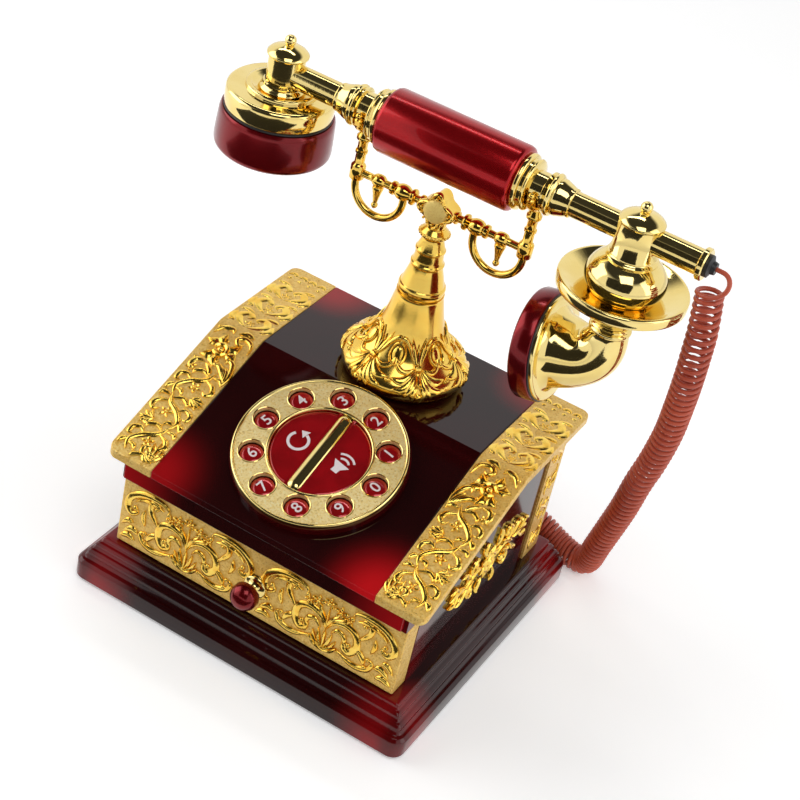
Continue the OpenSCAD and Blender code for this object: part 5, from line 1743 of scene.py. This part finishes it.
class TELEPHONE_OT_drawer(bpy.types.Operator):
    """Makes the drawer's front with its scrolls, and its knob"""
    bl_idname = "telephone.drawer"
    bl_label = "Drawer"

    def execute(self, context):
        box = brick(-CASE_W / 2, CASE_W / 2, FACE_Y, FACE_Y + DRAWER_T - 0.2, DRAWER_Z0, DRAWER_Z1)
        bevelled(piece("drawer_panel", *box, "gilt", "drawer", "drawer_front", smooth=30), 0.9)
        for side, name in ((-1, "left"), (1, "right")):
            piece("drawer_scrolls_" + name,
                  *joined(*drawer_relief(side * CASE_W / 4, sizes().relief * 1.15)),
                  "relief_gilt", "drawer")
        place = facing_front(KNOB_Z, FACE_Y)
        turned("knob_stem", flow(KNOB_BASE, 3), place, 64, "plated", "drawer", "knob_base", 40)
        turned("knob_button", flow(KNOB_TIP, 4), place, 72, "cup", "drawer", "knob_tip", 40)
        return {"FINISHED"}


class TELEPHONE_OT_roof(bpy.types.Operator):
    """Makes the lacquered roof between its two gilt strips"""
    bl_idname = "telephone.roof"
    bl_label = "Roof"

    def execute(self, context):
        top = [(ROOF_Y0, EAVE_Z), (RIDGE_Y, RIDGE_Z), (ROOF_Y1, RIDGE_Z)]
        under = [(y, z - STRIP_T) for y, z in reversed(top)]
        panel = piece("roof_panel", *extrusion(top + under, -PANEL_X, PANEL_X), "roof", "telephone",
                      "roof_shell", smooth=12)
        bevelled(panel, 0.7, 3, 25)
        bed = [(y, z - STRIP_T) for y, z in top]
        bed[0] = (ROOF_Y0 + BED_IN, roof_z(ROOF_Y0 + BED_IN) - STRIP_T)
        low = [(y, z - BED_T) for y, z in reversed(bed)]
        piece("roof_bed", *extrusion(bed + low, BED_IN - ROOF_W / 2, ROOF_W / 2 - BED_IN),
              "fascia", "telephone", smooth=12)
        fascia = brick(-FASCIA_X, FASCIA_X, FASCIA_Y, FASCIA_Y + FASCIA_T, FASCIA_Z0,
                       roof_z(FASCIA_Y) - STRIP_T)
        bevelled(piece("roof_fascia", *fascia, "fascia", "telephone", smooth=30), 0.6)
        for side, name in ((-1, "left"), (1, "right")):
            plate = piece("strip_plate_" + name, *strip_plate(side, 0.3), "gilt", "telephone",
                          "roof_strip_" + name, smooth=20)
            bevelled(plate, 0.6, 3, 40)
            piece("strip_relief_" + name, *joined(*strip_relief(side, sizes().relief)),
                  "relief_gilt", "telephone")
        return {"FINISHED"}


class TELEPHONE_OT_dial(bpy.types.Operator):
    """Makes the dial's ring, bar, push buttons and figures"""
    bl_idname = "telephone.dial"
    bl_label = "Dial"

    def execute(self, context):
        ground = turned("dial_ground", GROUND, DIAL, 180, "ring_gilt", "telephone", "dial_ring",
                        30, True)
        drill = [(0, 2), (HOLE_R, 2), (HOLE_R, 8), (0, 8)]
        carved(ground, [lathe(drill, DIAL @ hole_matrix(d), 48) for d in range(10)], 30)
        rims = [lathe(OUTER_RIM, DIAL, 180, closed=True), lathe(INNER_RIM, DIAL, 144, closed=True)]
        rims += [lathe(HOLE_LIP, DIAL @ hole_matrix(d), 48, closed=True) for d in range(10)]
        piece("dial_rims", *joined(*rims), "plated", "telephone", smooth=50)
        bar = stack(rounded_box(7.0, 51.0, 3.3), BAR_LEVELS, DIAL)
        piece("dial_divider", *bar, "plated", "telephone", "dial_bar", smooth=50)
        for digit in range(10):
            key = "key_%d" % digit
            place = DIAL @ hole_matrix(digit)
            turned("button_%d" % digit, BUTTON, place, 48, "button", key, "digit_%d" % digit, 40)
            figure("figure_%d" % digit, digit, key,
                   place @ Matrix.Translation((0, 0, BUTTON_TOP)), sizes().figure_size)
        for side, name in ((-1, "redial"), (1, "speaker")):
            piece("moon_" + name, *stack(moon(side, 25.3, 2.8), MOON_LEVELS, DIAL), "button",
                  name + "_key", name + "_button", smooth=50)
        piece("redial_sign", *redial_sign(), "figure", "redial_key", smooth=30)
        piece("speaker_sign", *speaker_sign(), "figure", "speaker_key", smooth=30)
        return {"FINISHED"}


class TELEPHONE_OT_pillar(bpy.types.Operator):
    """Turns the pillar and lays the acanthus round its foot"""
    bl_idname = "telephone.pillar"
    bl_label = "Pillar"

    def execute(self, context):
        bell = flow(FOOT_PROFILE, 2) + [(12.2, 167.6), (12.4, 168.7)] + FOOT_INSIDE
        turned("pillar_bell", bell, upright(0), 128, "pillar", "telephone", "pillar_foot", 40, True)
        piece("bell_acanthus", *joined(*foot_relief(ACANTHUS_H)), "relief_plated", "telephone")
        turned("pillar_turning", fillet(COLUMN_PROFILE, 0.5, 2), upright(0), 96, "pillar",
               "telephone", "pillar_column", closed=True)
        bead_ring("column_beads", 24, 7.5, 0.85, "pillar", "telephone", upright(0, z=203.8))
        return {"FINISHED"}


class TELEPHONE_OT_cradle(bpy.types.Operator):
    """Makes the cradle's head, its turned bar with the rings, and the forks"""
    bl_idname = "telephone.cradle"
    bl_label = "Cradle"

    def execute(self, context):
        front = facing_front(BAR_Z + 1, PILLAR_Y - 4)
        plate = stack(lobes(8.9, 1.8, 4), PLATE_LEVELS, front)
        block = stack(lobes(8.0, 1.4, 4), BLOCK_LEVELS, front)
        piece("head_plate", *joined(plate, block, lathe(ROD, upright(0), 40)), "gold", "cradle",
              "cradle_head", smooth=40)
        turned("head_field", flow(HEAD_FIELD, 3), front, 64, "field", "cradle")
        bead_ring("head_beads", 16, 7.35, 0.72, "gold", "cradle",
                  front @ Matrix.Translation((0, 0, 2.3)))
        piece("turned_bar", *joined(cradle_half(-1), cradle_half(1)), "gold", "cradle",
              "cradle_bar", smooth=45)
        for side, name in ((-1, "left"), (1, "right")):
            piece("fork_" + name, *fork(side), "gold", "cradle", "cradle_fork_" + name, smooth=45)
        return {"FINISHED"}


class TELEPHONE_OT_handset(bpy.types.Operator):
    """Turns the handset's tube, grip, collars and hubs"""
    bl_idname = "telephone.handset"
    bl_label = "Handset"

    def execute(self, context):
        shaft = [(4.6, EAR_X), (TUBE_R, EAR_X), (TUBE_R, 133.1), (7.6, 133.1), (8.2, 133.7),
                 (8.2, 135.7), (7.6, 136.3), (4.6, 136.3)]
        turned("shaft", shaft, along_x(), 64, "plated", "handset", "handset_tube", 40, True)
        grip = [(BORE_R, -GRIP_H), (14.2, -GRIP_H), (15.6, -37.5), (16.6, -36.7), (GRIP_R, -35.2)]
        grip += [(r, -x) for r, x in reversed(grip)]
        turned("grip_sleeve", grip, along_x(), 128, "red", "handset", "handset_grip", 60, True)
        for side, name in ((-1, "left"), (1, "right")):
            turned("turned_collar_" + name, COLLAR, along_x(0, AXIS_Z, side), 96, "plated",
                   "handset", "collar_" + name, closed=True)
        place = upright(EAR_X)
        turned("ear_finial", hub_profile(EAR_HUB), place, 96, "plated", "handset", "ear_hub")
        turned("ear_lid", EAR_CAP, place, 144, "plated", "handset", "ear_cap")
        # the black ring under the ear cap is painted shade: it draws the shadow line between cap
        # and cup
        turned("ear_shadow_ring", EAR_SHADOW_RING, place, 96, "black", "handset")
        cup = turned("ear_drum", EAR_CUP, place, 160, "cup", "handset", "ear_cup")
        with_sound_holes(cup, lambda x, y: upright(EAR_X + x, PILLAR_Y + y), 200, 213)
        return {"FINISHED"}


class TELEPHONE_OT_mouthpiece(bpy.types.Operator):
    """Turns the mouthpiece's hub and saucer, and bends the horn down to its cup"""
    bl_idname = "telephone.mouthpiece"
    bl_label = "Mouthpiece"

    def execute(self, context):
        top = MOUTH_HUB + hub_profile(finial(11.0, 11.4, 7.4, 17.6))
        turned("mouth_finial", top, upright(MOUTH_X), 112, "plated", "handset", "mouth_hub")
        turned("saucer", SAUCER, upright(MOUTH_X), 144, "plated", "handset", "mouth_saucer")
        place = mouth_place()
        horn = tube(*horn_shape(), 72, (0, 1, 0))
        piece("horn", *joined(horn, lathe(MOUTH_BACK, place, 128)), "plated", "handset",
              "mouth_horn", smooth=50)
        turned("mouth_gasket", MOUTH_GASKET, place, 96, "black", "handset")
        cup = turned("mouth_ring", MOUTH_SHELL, place, 144, "cup", "handset", "mouth_cup")
        with_sound_holes(cup, lambda x, y: place @ Matrix.Translation((x, y, 0)), 2.9, 12)
        return {"FINISHED"}


STEPS = [
    TELEPHONE_OT_stage, TELEPHONE_OT_cord, TELEPHONE_OT_kept_parts, TELEPHONE_OT_plinth,
    TELEPHONE_OT_case, TELEPHONE_OT_drawer, TELEPHONE_OT_roof, TELEPHONE_OT_dial,
    TELEPHONE_OT_pillar, TELEPHONE_OT_cradle, TELEPHONE_OT_handset, TELEPHONE_OT_mouthpiece,
]


class TELEPHONE_PT_parts(bpy.types.Panel):
    """Lists the telephone's pieces and sizes"""
    bl_idname = "TELEPHONE_PT_parts"
    bl_label = "Telephone"
    bl_space_type = "VIEW_3D"
    bl_region_type = "UI"
    bl_category = "Telephone"

    def draw(self, context):
        for name in TelephoneSizes.__annotations__:
            self.layout.prop(context.scene.telephone_sizes, name)
        for step in STEPS:
            self.layout.operator(step.bl_idname)


CLASSES = [TelephoneSizes, *STEPS, TELEPHONE_PT_parts]


def register():
    for cls in CLASSES:
        bpy.utils.register_class(cls)
    bpy.types.Scene.telephone_sizes = PointerProperty(type=TelephoneSizes)


def unregister():
    del bpy.types.Scene.telephone_sizes
    for cls in reversed(CLASSES):
        bpy.utils.unregister_class(cls)


def main():
    register()
    for step in STEPS:
        group, name = step.bl_idname.split(".")
        getattr(getattr(bpy.ops, group), name)()


if __name__ == "__main__":
    main()
